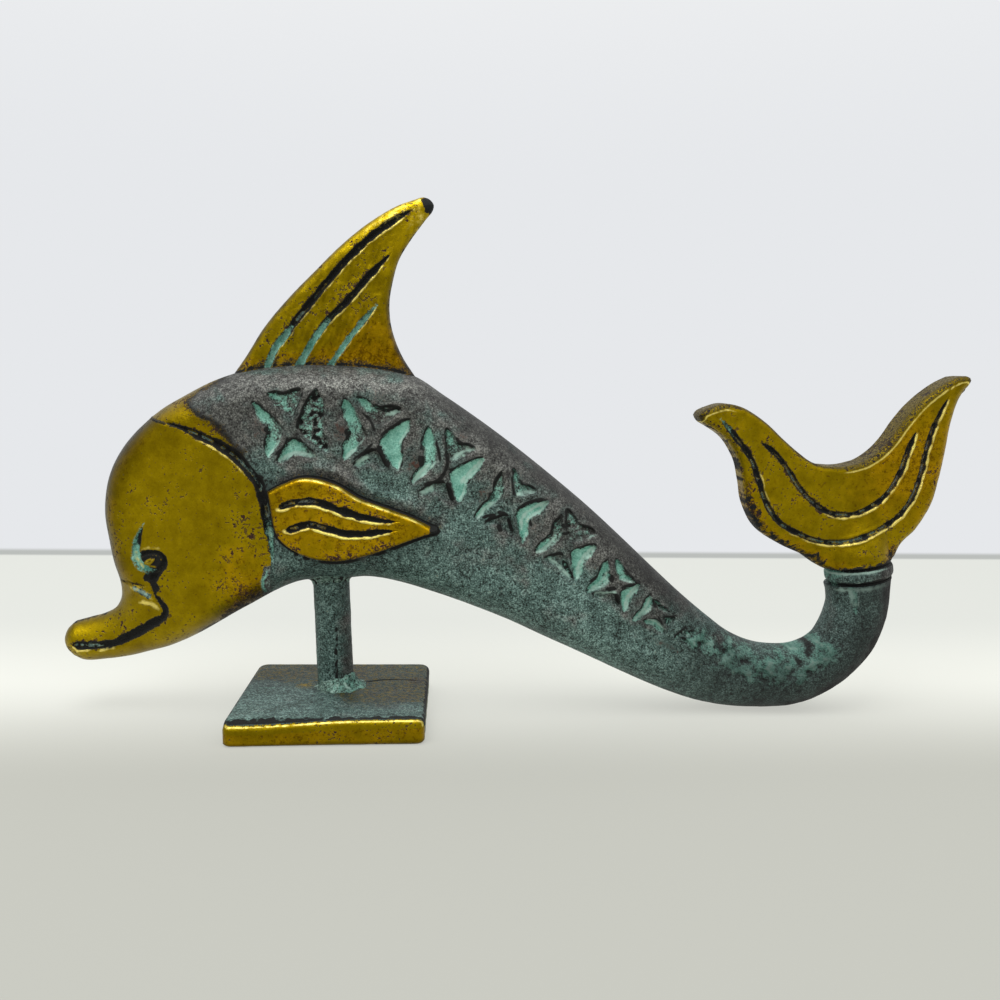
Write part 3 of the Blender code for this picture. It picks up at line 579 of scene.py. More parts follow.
        # Painted shade: a dark line round the rim, heaviest on the walls that face away from the light.
        over = np.where(inside > 0.0, 1.0, -1.0) * beside.facing(LIGHT_FALL)
        shaded = smoothstep(over, -0.1, 0.7)
        line = ramp(0.26 - np.abs(inside + 0.6 * uneven - 0.04), 0.9) * (0.20 + 0.90 * shaded)
        self.raise_near(GROOVE_AND_SHADE, near, line)
        self.raise_near(GROOVE_AND_SHADE, near, hollow.rough * smoothstep(pits, 0.08, 0.26) * floor * 0.75)
        # Painted highlight on the walls that face the light.
        lit = smoothstep(-over, 0.1, 0.8) * bell(inside, 0.30, 0.32)
        self.raise_near(SHINE, near, lit * (0.25 + 0.5 * fill))

        rib = smoothstep(inside, -1.5, -0.3) * (inside < 0.1)
        self.raise_near(WARMTH, near, 0.5 * rib)
        # A black spot of painted shade in the deep pit outside the notch, and a rust stain beyond it.
        if hollow.pit:
            away = (notch - inner) / np.linalg.norm(notch - inner)
            pit = np.linalg.norm(place - notch - 0.35 * away, axis=-1)
            self.raise_near(GROOVE_AND_SHADE, near, ramp(0.55 * hollow.pit - pit + uneven, 0.9))
            stain = np.linalg.norm(place - notch - 1.5 * away, axis=-1)
            self.raise_near(RUST, near, 0.6 * hollow.pit * falling(stain, 0.2, 3.4))
        close = np.zeros(self.height.shape)
        close[near] = rib
        return close

    def roughen(self, *layers: tuple[float, float]) -> None:
        """Adds the casting's unevenness.

        Args:
            layers: pairs of (width of the lumps, height of the lumps).
        """
        for k, (size, amount) in enumerate(layers):
            self.height += amount * grain(self.points, size, 7.0 + k, 2)


def chord_length(path: Sequence[Point]) -> float:
    """Length of a path measured from point to point."""
    return float(np.linalg.norm(np.diff(np.asarray(path, float), axis=0), axis=1).sum())


def bend_grid(relief: Relief, place: Callable[[float, float, float], tuple]) -> Mesh:
    """Bends a bmesh grid over a relief and gives its vertices the relief's marks.

    Args:
        relief: the points, heights and marks.
        place: turns (first side-view number, second one, height) into a position in metres.

    Returns:
        The open sheet.
    """
    columns, rows = relief.height.shape
    bm = bmesh.new()
    bmesh.ops.create_grid(bm, x_segments=columns - 1, y_segments=rows - 1, size=0.5)
    layers = [(bm.verts.layers.float.new(name), values.tolist()) for name, values in relief.marks.items()]
    points, heights = relief.points.tolist(), relief.height.tolist()
    for vert in bm.verts:
        i = round((vert.co.x + 0.5) * (columns - 1))
        j = round((vert.co.y + 0.5) * (rows - 1))
        vert.co = place(*points[i][j], heights[i][j])
        for layer, values in layers:
            vert[layer] = values[i][j]
    return bm


def pull_walls(bm: Mesh, axis: int, level: float) -> None:
    """Extrudes a sheet's rim to a level along an axis and welds it where it is there already."""
    rim = [edge for edge in bm.edges if edge.is_boundary]
    verts = {vert for edge in rim for vert in edge.verts}
    walls = bmesh.ops.extrude_edge_only(bm, edges=rim)
    for item in walls["geom"]:
        if isinstance(item, bmesh.types.BMVert):
            item.co[axis] = level
            verts.add(item)
    bmesh.ops.remove_doubles(bm, verts=list(verts), dist=WELD)
    bmesh.ops.dissolve_degenerate(bm, dist=FINE_WELD, edges=bm.edges[:])


def in_side_view(x: float, z: float, height: float) -> tuple[float, float, float]:
    """A side-view point from the seat, lifted towards the camera's side, in metres."""
    return (x * MM, -height * MM, (z + SEAT[1]) * MM)


def two_sided(relief: Relief) -> Mesh:
    """A closed casting whose two sides both have the relief."""
    relief.height = np.maximum(relief.height, 0.0)
    bm = bend_grid(relief, in_side_view)
    pull_walls(bm, 1, 0.0)
    bmesh.ops.mirror(bm, geom=bm.verts[:] + bm.edges[:] + bm.faces[:], axis="Y", merge_dist=WELD)
    return bm


def spun(profile: Sequence[Point], steps: int, closed: bool) -> Mesh:
    """A surface spun about +Z from a profile of (radius, height), joined end to start if closed."""
    bm = bmesh.new()
    verts = [bm.verts.new((radius * MM, 0.0, height * MM)) for radius, height in profile]
    for a, b in zip(verts, verts[1:] + verts[:1] if closed else verts[1:]):
        bm.edges.new((a, b))
    bmesh.ops.spin(
        bm, geom=bm.verts[:] + bm.edges[:], cent=(0.0, 0.0, 0.0), axis=(0.0, 0.0, 1.0),
        angle=2 * math.pi, steps=steps, use_merge=True,
    )
    return bm


def turned(profile: Sequence[Point], steps: int) -> Mesh:
    """A solid spun from a profile that starts and ends on the axis."""
    bm = spun(profile, steps, closed=False)
    bmesh.ops.remove_doubles(bm, verts=bm.verts, dist=FINE_WELD)
    return bm


def mark_verts(bm: Mesh, marks: dict[str, Callable[[Vector], float]]) -> None:
    """Gives each vertex its marks.

    Args:
        bm: the mesh.
        marks: for each mark a function of the vertex's position in millimetres.
    """
    layers = [(bm.verts.layers.float.new(name), value) for name, value in marks.items()]
    for vert in bm.verts:
        place = vert.co / MM
        for layer, value in layers:
            vert[layer] = float(value(place))


class Slot(Enum):
    """The record's material slots."""

    BRASS = "burnished_brass"
    PATINA = "verdigris_patina"
    BRAZE = "braze"


def from_srgb(red: int, green: int, blue: int) -> Colour:
    """A colour as it is written in sRGB numbers up to 255, made linear."""
    return tuple(
        c / 12.92 if c <= 0.04045 else ((c + 0.055) / 1.055) ** 2.4
        for c in (red / 255, green / 255, blue / 255)
    )


class Graph:
    """Adds and links the nodes of one material or world."""

    def __init__(self, tree: bpy.types.NodeTree) -> None:
        """Empties the tree."""
        self.tree = tree
        tree.nodes.clear()

    def node(self, kind: str, **settings: object) -> bpy.types.Node:
        """A new node with some of its settings changed."""
        node = self.tree.nodes.new(kind)
        for name, value in settings.items():
            setattr(node, name, value)
        return node

    def feed(self, target: Socket, value: object) -> None:
        """Links a socket into another, or sets the other to a number or a colour."""
        if isinstance(value, Socket):
            self.tree.links.new(value, target)
        elif isinstance(value, tuple) and len(value) == 3 and target.type == "RGBA":
            target.default_value = (*value, 1.0)
        else:
            target.default_value = value

    def math(self, operation: str, a: object, b: object = 0.0, clamp: bool = False) -> Socket:
        """The result of a Math node."""
        node = self.node("ShaderNodeMath", operation=operation, use_clamp=clamp)
        self.feed(node.inputs[0], a)
        self.feed(node.inputs[1], b)
        return node.outputs[0]

    def add(self, a: object, b: object, clamp: bool = False) -> Socket:
        """The sum of two values."""
        return self.math("ADD", a, b, clamp)

    def times(self, a: object, b: object) -> Socket:
        """The product of two values."""
        return self.math("MULTIPLY", a, b)

    def minus(self, a: object, b: object) -> Socket:
        """The difference of two values."""
        return self.math("SUBTRACT", a, b)

    def most(self, a: object, b: object) -> Socket:
        """The larger of two values."""
        return self.math("MAXIMUM", a, b)

    def step(self, value: object, low: float, high: float) -> Socket:
        """A smooth rise from 0 at low to 1 at high."""
        node = self.node("ShaderNodeMapRange", interpolation_type="SMOOTHSTEP")
        self.feed(node.inputs["Value"], value)
        node.inputs["From Min"].default_value = low
        node.inputs["From Max"].default_value = high
        return node.outputs["Result"]

    def mix(self, share: object, a: object, b: object, blend: str = "MIX") -> Socket:
        """Two colours mixed by a share."""
        node = self.node("ShaderNodeMix", data_type="RGBA", blend_type=blend)
        self.feed(node.inputs[0], share)
        self.feed(node.inputs[6], a)
        self.feed(node.inputs[7], b)
        return node.outputs[2]

    def mix_value(self, share: object, a: object, b: object) -> Socket:
        """Two numbers mixed by a share."""
        node = self.node("ShaderNodeMix", data_type="FLOAT")
        self.feed(node.inputs[0], share)
        self.feed(node.inputs[2], a)
        self.feed(node.inputs[3], b)
        return node.outputs[0]

    def coloured(self, kind: str, colour: object) -> Socket:
        """A shader of a kind that has one colour."""
        node = self.node(f"ShaderNode{kind}")
        self.feed(node.inputs["Color"], colour)
        return node.outputs[0]

    def mix_shader(self, share: object, a: object, b: object) -> Socket:
        """Two shaders mixed by a share."""
        node = self.node("ShaderNodeMixShader")
        for socket, value in zip(node.inputs, (share, a, b)):
            self.feed(socket, value)
        return node.outputs[0]

    def noise(self, coordinates: object, lump: float, detail: float = 3.0) -> Socket:
        """A noise between 0 and 1 whose lumps have a width in millimetres."""
        node = self.node("ShaderNodeTexNoise")
        self.feed(node.inputs["Vector"], coordinates)
        node.inputs["Scale"].default_value = 1.0 / (lump * MM)
        node.inputs["Detail"].default_value = detail
        node.inputs["Roughness"].default_value = 0.6
        return node.outputs["Fac"]

    def mark(self, name: str) -> Socket:
        """A mark that the mesh carries."""
        return self.node("ShaderNodeAttribute", attribute_name=name).outputs["Fac"]

    def about(self, value: object, gain: float) -> Socket:
        """A noise's distance from its middle, times a gain."""
        return self.times(self.minus(value, 0.5), gain)


@dataclass(frozen=True)
class AgedMetal:
    """Cast brass: burnished where it is marked as polished, patinated elsewhere.

    Attributes:
        slot: the record's slot that it stands for, and is named after.
        bright, deep: the two tones of the burnished brass.
        amber: its tone where it is marked as warm.
        tarnish: the brown that mottles it.
        pit: the colour of the pits in it.
        sheen_and_wear: painted highlight tones of lips and edges where the light catches them, also used
            for pale wear, on patina and on brass.
        cool: dark, middle and light tones of the grey-green patina.
        warm: the same of the violet-brown patina.
        rust: the colour of the red-brown stains.
        dirt_and_shade: the black of grime in the bottom of the carving, also used for painted shade.
        verdigris: dark and light tones of the turquoise deposit.
        brass_roughness, patina_roughness: roughness of the two surfaces.
        patina_metal: how metallic the patina looks.
        relief: height of the fine surface grain, in millimetres.
    """

    slot: Slot
    bright: Colour = from_srgb(174, 150, 12)
    deep: Colour = from_srgb(130, 107, 5)
    amber: Colour = from_srgb(178, 138, 9)
    tarnish: Colour = from_srgb(94, 64, 5)
    pit: Colour = from_srgb(56, 27, 7)
    sheen_and_wear: tuple[Colour, Colour] = (from_srgb(176, 208, 196), from_srgb(246, 226, 120))
    cool: tuple[Colour, Colour, Colour] = (
        from_srgb(11, 24, 20), from_srgb(82, 109, 103), from_srgb(146, 177, 170))
    warm: tuple[Colour, Colour, Colour] = (
        from_srgb(27, 24, 24), from_srgb(80, 81, 78), from_srgb(136, 138, 133))
    rust: Colour = from_srgb(74, 45, 34)
    dirt_and_shade: Colour = from_srgb(9, 11, 8)
    verdigris: tuple[Colour, Colour] = (from_srgb(80, 152, 134), from_srgb(168, 222, 206))
    brass_roughness: float = 0.42
    patina_roughness: float = 0.60
    patina_metal: float = 0.25
    relief: float = 0.10

    def build(self) -> bpy.types.Material:
        """Makes the material's nodes.

        Returns:
            The material.
        """
        material = bpy.data.materials.new(f"{self.slot.value}_aged")
        material.use_nodes = True
        g = Graph(material.node_tree)
        place = g.node("ShaderNodeTexCoord").outputs["Object"]
        fine = g.noise(place, 0.29, 4.0)
        speck = g.noise(place, 0.85, 3.0)
        mid = g.noise(place, 3.0, 4.0)
        large = g.noise(place, 9.0, 3.0)

        ragged = g.add(g.about(fine, 1.5), g.about(speck, 1.5))
        polish = g.step(g.add(g.mark(POLISH), ragged), 0.34, 0.66)
        colour = g.mix(polish, self.patina_colour(g, fine, speck, mid, large),
                       self.brass_colour(g, fine, speck, mid, large))
        mottled = g.add(g.about(speck, 2.0), g.about(fine, 1.6))
        rust = g.step(g.add(g.mark(RUST), mottled), 0.35, 1.0)
        colour = g.mix(rust, colour, self.rust)
        pits = self.pits(g, place, mid, large, polish, g.mark(GROOVE_AND_SHADE))
        colour = g.mix(pits, colour, self.pit)
        # Black of grime in the carving, and painted shade, from the groove mark.
        groove = g.step(g.add(g.mark(GROOVE_AND_SHADE), g.about(fine, 0.55)), 0.40, 0.58)
        colour = g.mix(groove, colour, self.dirt_and_shade)
        crust = g.add(g.about(fine, 0.9), g.about(speck, 0.9))
        deposit = g.step(g.add(g.mark(DEPOSIT), crust), 0.26, 0.74)
        shade = g.add(g.about(mid, 1.6), g.about(fine, 1.8))
        shade = g.add(shade, 0.42, clamp=True)
        colour = g.mix(deposit, colour, g.mix(shade, *self.verdigris))
        # Painted highlights, and pale wear, from the shine mark.
        shine = g.step(g.add(g.mark(SHINE), g.about(speck, 0.9)), 0.22, 0.80)
        colour = g.mix(shine, colour, g.mix(polish, *self.sheen_and_wear))
        colour = self.toned(g, colour, mid)

        covered = g.most(g.most(groove, deposit), g.times(pits, 0.8))
        clean = g.minus(1.0, covered)
        metal = g.times(g.mix_value(polish, self.patina_metal, 1.0), clean)
        rough = g.mix_value(polish, self.patina_roughness, self.brass_roughness)
        rough = g.add(rough, g.about(fine, 0.25))
        rough = g.mix_value(clean, 0.85, rough)

        bump = g.node("ShaderNodeBump")
        coarse = g.mix_value(polish, 1.0, 0.30)
        height = g.times(g.add(fine, g.times(speck, 0.8)), coarse)
        height = g.minus(height, g.times(pits, 0.5))
        g.feed(bump.inputs["Height"], height)
        bump.inputs["Strength"].default_value = 1.0
        bump.inputs["Distance"].default_value = self.relief * MM

        shader = g.node("ShaderNodeBsdfPrincipled")
        g.feed(shader.inputs["Base Color"], colour)
        g.feed(shader.inputs["Metallic"], metal)
        g.feed(shader.inputs["Roughness"], rough)
        g.feed(shader.inputs["Normal"], bump.outputs["Normal"])
        g.feed(g.node("ShaderNodeOutputMaterial").inputs["Surface"], shader.outputs["BSDF"])
        return material

    def toned(self, g: Graph, colour: object, mid: object) -> Socket:
        """The colour made darker or lighter by the tone mark and by soft blotches."""
        tone = g.times(g.mark(TONE), g.add(2.0, g.about(mid, 1.3)))
        grey = g.node("ShaderNodeCombineColor")
        for socket in grey.inputs:
            g.feed(socket, tone)
        return g.mix(1.0, colour, grey.outputs["Color"], "MULTIPLY")

    def pits(self, g: Graph, place: object, mid: object, large: object, polish: object,
             grime_and_shade: object) -> Socket:
        """Fine pits in crowds and a few larger ones, thickest beside the grime and painted shade of the
        groove mark.
        """
        crowd = g.add(g.about(mid, 0.8), g.about(large, 0.9))
        crowd = g.add(crowd, g.times(grime_and_shade, 0.35))
        fine = g.step(g.add(g.noise(place, 0.48, 1.0), g.times(crowd, 0.70)), 0.68, 0.76)
        coarse = g.step(g.add(g.noise(place, 1.0, 2.0), g.times(crowd, 0.60)), 0.71, 0.77)
        return g.times(g.most(g.times(fine, 0.8), coarse), polish)

    def brass_colour(self, g: Graph, fine: object, speck: object, mid: object,
                     large: object) -> Socket:
        """The burnished brass: two tones that drift into each other, amber and mottled where it is warm."""
        drift = g.add(g.about(mid, 0.9), g.about(large, 1.3))
        drift = g.add(drift, g.about(fine, 0.9))
        plain = g.mix(g.add(drift, 0.5, clamp=True), self.deep, self.bright)
        warm = g.step(g.add(g.mark(WARMTH), g.about(mid, 0.8)), 0.35, 1.05)
        mottled = g.add(g.about(speck, 1.8), g.about(fine, 1.6))
        mottled = g.step(g.add(g.times(g.mark(WARMTH), 0.5), mottled), 0.30, 0.85)
        return g.mix(g.times(mottled, 0.75), g.mix(warm, plain, self.amber), self.tarnish)

    def patina_colour(self, g: Graph, fine: object, speck: object, mid: object,
                      large: object) -> Socket:
        """The patina: fine speckle in a cool and a warm family of tones."""
        speckle = g.add(g.about(fine, 3.0), g.about(speck, 1.3))
        speckle = g.add(speckle, g.add(g.about(mid, 0.6), 0.48), clamp=True)
        families = []
        for dark, middle, light in (self.cool, self.warm):
            low = g.mix(g.step(speckle, 0.0, 0.5), dark, middle)
            families.append(g.mix(g.step(speckle, 0.5, 1.0), low, light))
        lean = g.add(g.mark(WARMTH), g.add(g.about(large, 2.4), g.about(mid, 1.3)))
        return g.mix(g.step(lean, 0.1, 0.9), *families)


class Workshop:
    """Turns finished meshes into pieces of the object and reports them."""

    def __init__(self) -> None:
        """Makes the three finishes."""
        self.materials = {
            Slot.BRASS: AgedMetal(Slot.BRASS, relief=0.16).build(),
            Slot.PATINA: AgedMetal(Slot.PATINA, relief=0.20).build(),
            Slot.BRAZE: AgedMetal(
                Slot.BRAZE, patina_roughness=0.75, patina_metal=0.1, relief=0.30,
                cool=(from_srgb(36, 54, 48), from_srgb(104, 134, 122), from_srgb(190, 214, 204)),
            ).build(),
        }

    def add(self, name: str, bm: Mesh, slot: Slot, node: str) -> bpy.types.Object:
        """Makes a piece that rides on the body and stands for a CAD node.

        Args:
            name: the piece's name.
            bm: its closed mesh, which is used up.
            slot: the finish.
            node: the CAD node that it replaces.

        Returns:
            The piece.
        """
        bmesh.ops.recalc_face_normals(bm, faces=bm.faces)
        mesh = bpy.data.meshes.new(name)
        bm.to_mesh(mesh)
        bm.free()
        mesh.shade_smooth()
        mesh.set_sharp_from_angle(angle=SHARP_ANGLE)
        mesh.materials.append(self.materials[slot])
        piece = bpy.data.objects.new(name, mesh)
        bpy.context.scene.collection.objects.link(piece)
        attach(piece, BODY)
        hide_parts(node)
        LOG.info("%s: %d vertices", name, len(mesh.vertices))
        return piece


GILL_GROOVE = ChasedLine(
    path=(
        (-29.4, 28.4), (-26.3, 28.1), (-22.0, 26.4), (-18.1, 24.4), (-14.9, 21.8), (-12.4, 18.8),
        (-11.1, 15.4), (-10.4, 11.2), (-9.9, 7.6), (-9.85, 4.4),
    ),
    width=1.8, depth=0.85, start_taper=14.0, end_taper=7.0, lip=0.05,
    deposit=((0.0, 0.0), (0.55, 0.0), (0.72, 0.12), (0.88, 0.55), (1.0, 0.7)),
    shine=((0.0, 0.0), (0.15, 0.1), (0.3, 0.85), (0.5, 0.65), (0.6, 0.0), (1.0, 0.0)),
    shine_side=(-0.7, -0.7), thread=((0.0, 0.2), (0.15, 0.75), (1.0, 0.85)),
)


@dataclass
class Head:
    """The forehead and beak, with the eye, the mouth and the gill groove's front bank."""

    ribs: list[Rib] = field(default_factory=lambda: [
        ((-47.2, -14.6), (-47.0, -8.4)), ((-45.3, -15.5), (-44.2, -7.6)), ((-41.0, -15.3), (-41.5, -6.8)),
        ((-36.9, -14.7), (-39.4, -5.5)), ((-33.5, -13.8), (-38.3, -3.3)),
        ((-30.2, -12.9), (-38.3, -0.5)), ((-27.0, -11.6), (-39.2, 3.2)),
        ((-24.0, -10.1), (-39.9, 7.9)), ((-20.9, -8.3), (-40.3, 13.2)),
        ((-17.9, -6.5), (-39.4, 18.6)), ((-14.3, -4.5), (-36.4, 24.4)), ((-12.5, -3.45), (-34.15, 26.98)),
    ])
    beak_tip: tuple[Point, ...] = (
        (-47.2, -14.6), (-48.3, -13.3), (-48.8, -11.6), (-48.2, -9.6), (-47.0, -8.4))
    beak_thickness: float = 8.0
    pit_crowds: tuple[tuple[float, float, float], ...] = (
        (-29.5, 21.8, 2.0), (-27.8, 15.1, 2.2), (-21.5, 20.4, 1.6), (-30.0, 8.7, 1.8), (-15.2, 13.4, 1.8),
    )
    edge_radius: float = 4.6
    beak_to_forehead: tuple[float, float] = (0.12, 0.62)
    stations: int = 232
    middle_rows: int = 150

    def relief(self) -> Relief:
        """The head's side before it is carved."""
        ribs = self.ribs + [(GILL_SEAM[0], GILL_SEAM[-1])]
        stations = spread(self.stations, (0.0, 0.05, 2.5))
        patch = Patch.from_ribs(ribs, stations, start=self.beak_tip, end=GILL_SEAM)
        v = patch.rows(self.edge_radius, 9, np.linspace(0.0, 1.0, self.middle_rows))
        points = patch.grid(v)
        beak, full = self.beak_thickness / 2, BODY_THICKNESS / 2
        swell = smoothstep(patch.stations, *self.beak_to_forehead)[:, None]
        radius = np.minimum(self.edge_radius, 0.5 * patch.width())
        edge = np.concatenate([patch.lower[::-1], patch.start, patch.upper])
        from_edge = nearest(edge, points).distance
        relief = Relief(points, (beak + (full - beak) * swell) * rounded(from_edge, radius))
        relief.mark(polish=1.0, groove=0.0, deposit=0.0, tone=0.5, warmth=0.15, shine=0.0)
        self.tan(relief, from_edge)
        return relief

    def tan(self, relief: Relief, from_edge: Array) -> None:
        """Where the burnished brass is darkened by painted shade and dark reflection, bright or amber."""
        x, z = relief.axes()
        # Painted shade darkens the brow; the brown band along it is the brass's own colour.
        brow = smoothstep(z, -6.0, 4.0) * falling(x, -34.0, -24.0)
        relief.add_mark(TONE, -0.32 * brow * falling(from_edge, 0.5, 7.0))
        relief.add_mark(WARMTH, 0.45 * brow * bell(from_edge, 2.5, 2.0))
        # Painted dark reflection along the rounded edges.
        relief.add_mark(TONE, -0.17 * falling(from_edge, 0.3, 2.2))
        relief.tarnish_edge(from_edge, 0.6)
        cheek = relief.spot(-15.0, 1.0, 8.0, 8.0)
        relief.tint(cheek, warmth=0.55, tone=0.08)
        relief.add_mark(TONE, 0.24 * relief.spot(-44.0, -9.6, 2.6, 1.1))
        relief.add_mark(TONE, 0.07 * relief.spot(-30.0, 14.0, 10.0, 10.0))

    def carve_mouth(self, relief: Relief) -> None:
        """The line of the mouth, the crease at the beak's root and the pale facet beside it, with painted
        highlights.
        """
        relief.chase(ChasedLine(
            path=(
                (-46.0, -11.9), (-43.1, -12.0), (-38.9, -11.4), (-35.2, -9.55), (-31.7, -7.5),
                (-29.2, -5.8), (-28.9, -4.9), (-29.6, -3.4), (-30.6, -2.0), (-31.4, -0.7),
            ),
            width=1.7, depth=0.60, start_taper=0.4, end_taper=9.0,
            deposit=((0.0, 0.15), (0.16, 0.15), (0.22, 0.0), (1.0, 0.0)),
            shine=((0.0, 0.95), (0.2, 0.9), (0.3, 0.4), (0.5, 0.2), (1.0, 0.0)), shine_side=(0.2, -0.98),
            thread=((0.0, 0.95), (0.18, 0.95), (0.26, 0.0), (1.0, 0.0)),
        ))
        relief.chase(ChasedLine(
            path=((-38.1, 0.1), (-35.2, 0.1), (-32.4, -0.4)), width=0.45, depth=0.20, lip=0.03,
            start_taper=0.3, end_taper=0.8, black=0.8, shine=((0.0, 0.0), (1.0, 0.3)),
        ))
        # The facet is a low swell lightened as a painted highlight; its pale grey is patina.
        facet = relief.bead(((-35.6, -0.8), (-33.0, -1.8), (-30.8, -3.6)), 2.4, 0.50)
        relief.add_mark(TONE, 0.10 * facet)
        pale = relief.bead(((-35.2, -0.5), (-33.0, -1.3), (-31.0, -2.6)), 1.3, 0.10)
        relief.lower_mark(POLISH, 0.8 * pale)
        # Painted highlights along the facet.
        relief.stroke(SHINE, ((-35.4, -0.6), (-33.0, -1.5), (-31.0, -2.8)), 1.0, 0.55)
        relief.stroke(SHINE, ((-33.6, -3.6), (-31.7, -3.6), (-30.2, -4.6)), 0.8, 0.95)

    def carve_eye(self, relief: Relief) -> None:
        """The crescent in front of the eye, its lids, its pupil and the pitted hollow below."""
        dull = ((0.0, 0.0), (1.0, 0.0))
        relief.chase(ChasedLine(
            path=((-31.9, 10.8), (-32.9, 8.4), (-33.4, 5.8), (-32.9, 3.8), (-31.4, 2.7), (-29.8, 2.8)),
            width=1.45, depth=0.60, start_taper=5.5, end_taper=3.0, lip=0.10, black=0.9,
            deposit=((0.0, 0.5), (0.10, 0.1), (0.30, 0.2), (0.42, 0.9), (0.80, 0.9),
                     (0.92, 0.5), (1.0, 0.2)),
            shine=dull,
        ))
        film = ((-31.9, 10.9), (-33.4, 8.1), (-34.0, 5.4), (-33.5, 3.2), (-31.9, 2.0))
        relief.stroke(DEPOSIT, film, 0.4, 0.85)
        # Painted highlight along the crescent.
        relief.stroke(SHINE, ((-33.6, 6.4), (-33.4, 4.6), (-32.4, 3.0)), 0.5, 0.6)
        relief.chase(ChasedLine(
            path=((-32.8, 5.1), (-32.0, 5.6), (-31.0, 5.8), (-29.7, 5.7), (-28.7, 5.0), (-28.3, 4.1)),
            width=0.95, depth=0.45, start_taper=0.6, end_taper=0.6, lip=0.05, shine=dull,
        ))
        relief.chase(ChasedLine(
            path=((-28.4, 4.2), (-29.0, 3.2), (-29.9, 2.1), (-31.2, 0.9)), width=1.35, depth=0.40,
            start_taper=0.4, end_taper=0.8, lip=0.03, shine=dull,
            thread=((0.0, 0.0), (0.3, 0.5), (1.0, 0.5)),
        ))
        # Painted highlight on the upper lid.
        relief.stroke(SHINE, ((-32.8, 6.2), (-31.0, 6.7), (-29.1, 6.4)), 0.35, 0.6)
        relief.stroke(GROOVE_AND_SHADE, ((-32.4, 4.5), (-30.8, 4.4), (-29.2, 4.0)), 1.9, 1.0)
        self.set_pupil(relief, np.array([-31.2, 4.15]), math.radians(27.0), 1.25, 0.52)
        relief.chase(ChasedLine(
            path=((-32.6, 0.9), (-31.0, 1.2), (-29.6, 1.6)), width=2.2, depth=0.40,
            start_taper=1.0, end_taper=1.2, lip=0.05, black=0.72, shine=dull,
        ))
        relief.chase(ChasedLine(
            path=((-31.0, 0.6), (-30.5, -0.6), (-30.7, -1.9)), width=1.6, depth=0.30,
            start_taper=0.3, end_taper=1.2, lip=0.05, black=0.75, shine=dull,
        ))

    def set_pupil(
        self, relief: Relief, centre: Array, tilt: float, length: float, height: float,
    ) -> None:
        """A raised brass lens with a dark slit, half its length and height given."""
        offset = relief.points - centre
        x = offset[..., 0] * math.cos(tilt) + offset[..., 1] * math.sin(tilt)
        z = offset[..., 1] * math.cos(tilt) - offset[..., 0] * math.sin(tilt)
        lens = np.abs(z) / height + (x / length) ** 2
        solid = falling(lens, 0.75, 1.15)
        relief.height += 0.30 * solid
        # Painted highlight on the raised lens.
        relief.raise_mark(SHINE, 0.35 * solid)
        relief.lower_mark(GROOVE_AND_SHADE, solid)
        relief.lower_mark(DEPOSIT, solid)
        slit = falling(np.abs(z) / 0.16 + (x / (0.62 * length)) ** 2, 0.5, 1.3)
        relief.raise_mark(GROOVE_AND_SHADE, 0.6 * slit)
        relief.height -= 0.10 * slit

    def soil(self, relief: Relief) -> None:
        """Painted shade under the throat, pits near the gill and the teal end of the gill groove."""
        x, z = relief.axes()
        # Painted shade along the throat: speckled black, darker and browner towards the body.
        near, beside = relief.beside(((-23.5, -9.6), (-17.5, -6.3), (-11.2, -2.6)), 7.0)
        fade = np.zeros(relief.height.shape)
        reach = 0.9 + 3.0 * smoothstep(beside.share, 0.1, 0.9)
        fade[near] = falling(beside.distance / reach, 0.1, 1.5)
        ragged = fade + 0.9 * fade * grain(relief.points, 1.6, 3.0)
        relief.raise_mark(GROOVE_AND_SHADE, 0.50 * smoothstep(ragged, 0.1, 0.9))
        relief.tint(fade, tone=-0.20, warmth=0.5)
        seam = nearest(np.array(GILL_SEAM), relief.points).distance
        low = falling(z, 2.0, 5.0)
        relief.lower_mark(POLISH, low * falling(seam, 0.7, 1.9))
        relief.raise_mark(DEPOSIT, 0.34 * low * falling(seam, 0.2, 1.5))
        relief.stroke(DEPOSIT, ((-10.7, 2.4), (-11.5, 1.0), (-11.7, -0.8), (-11.3, -2.2)), 0.5, 0.9)
        relief.stroke(GROOVE_AND_SHADE, GILL_LEAD, 0.6, 0.8, 0.4)
        gill = bell(seam, 2.5, 3.0) * bell(z, 12.0, 7.0)
        relief.raise_mark(GROOVE_AND_SHADE, 0.30 * gill)
        for x_pits, z_pits, size in self.pit_crowds:
            away = np.hypot(x - x_pits, z - z_pits)
            relief.raise_mark(GROOVE_AND_SHADE, 0.28 * bell(away, 0.0, size))

    def build(self, workshop: Workshop) -> None:
        """Models, carves and dresses the head."""
        relief = self.relief()
        relief.roughen((6.0, 0.14), (1.7, 0.045))
        relief.chase(GILL_GROOVE)
        self.carve_mouth(relief)
        self.carve_eye(relief)
        self.soil(relief)
        workshop.add("head_casting", two_sided(relief), Slot.BRASS, "head")


STAR_DEPTH = 0.8

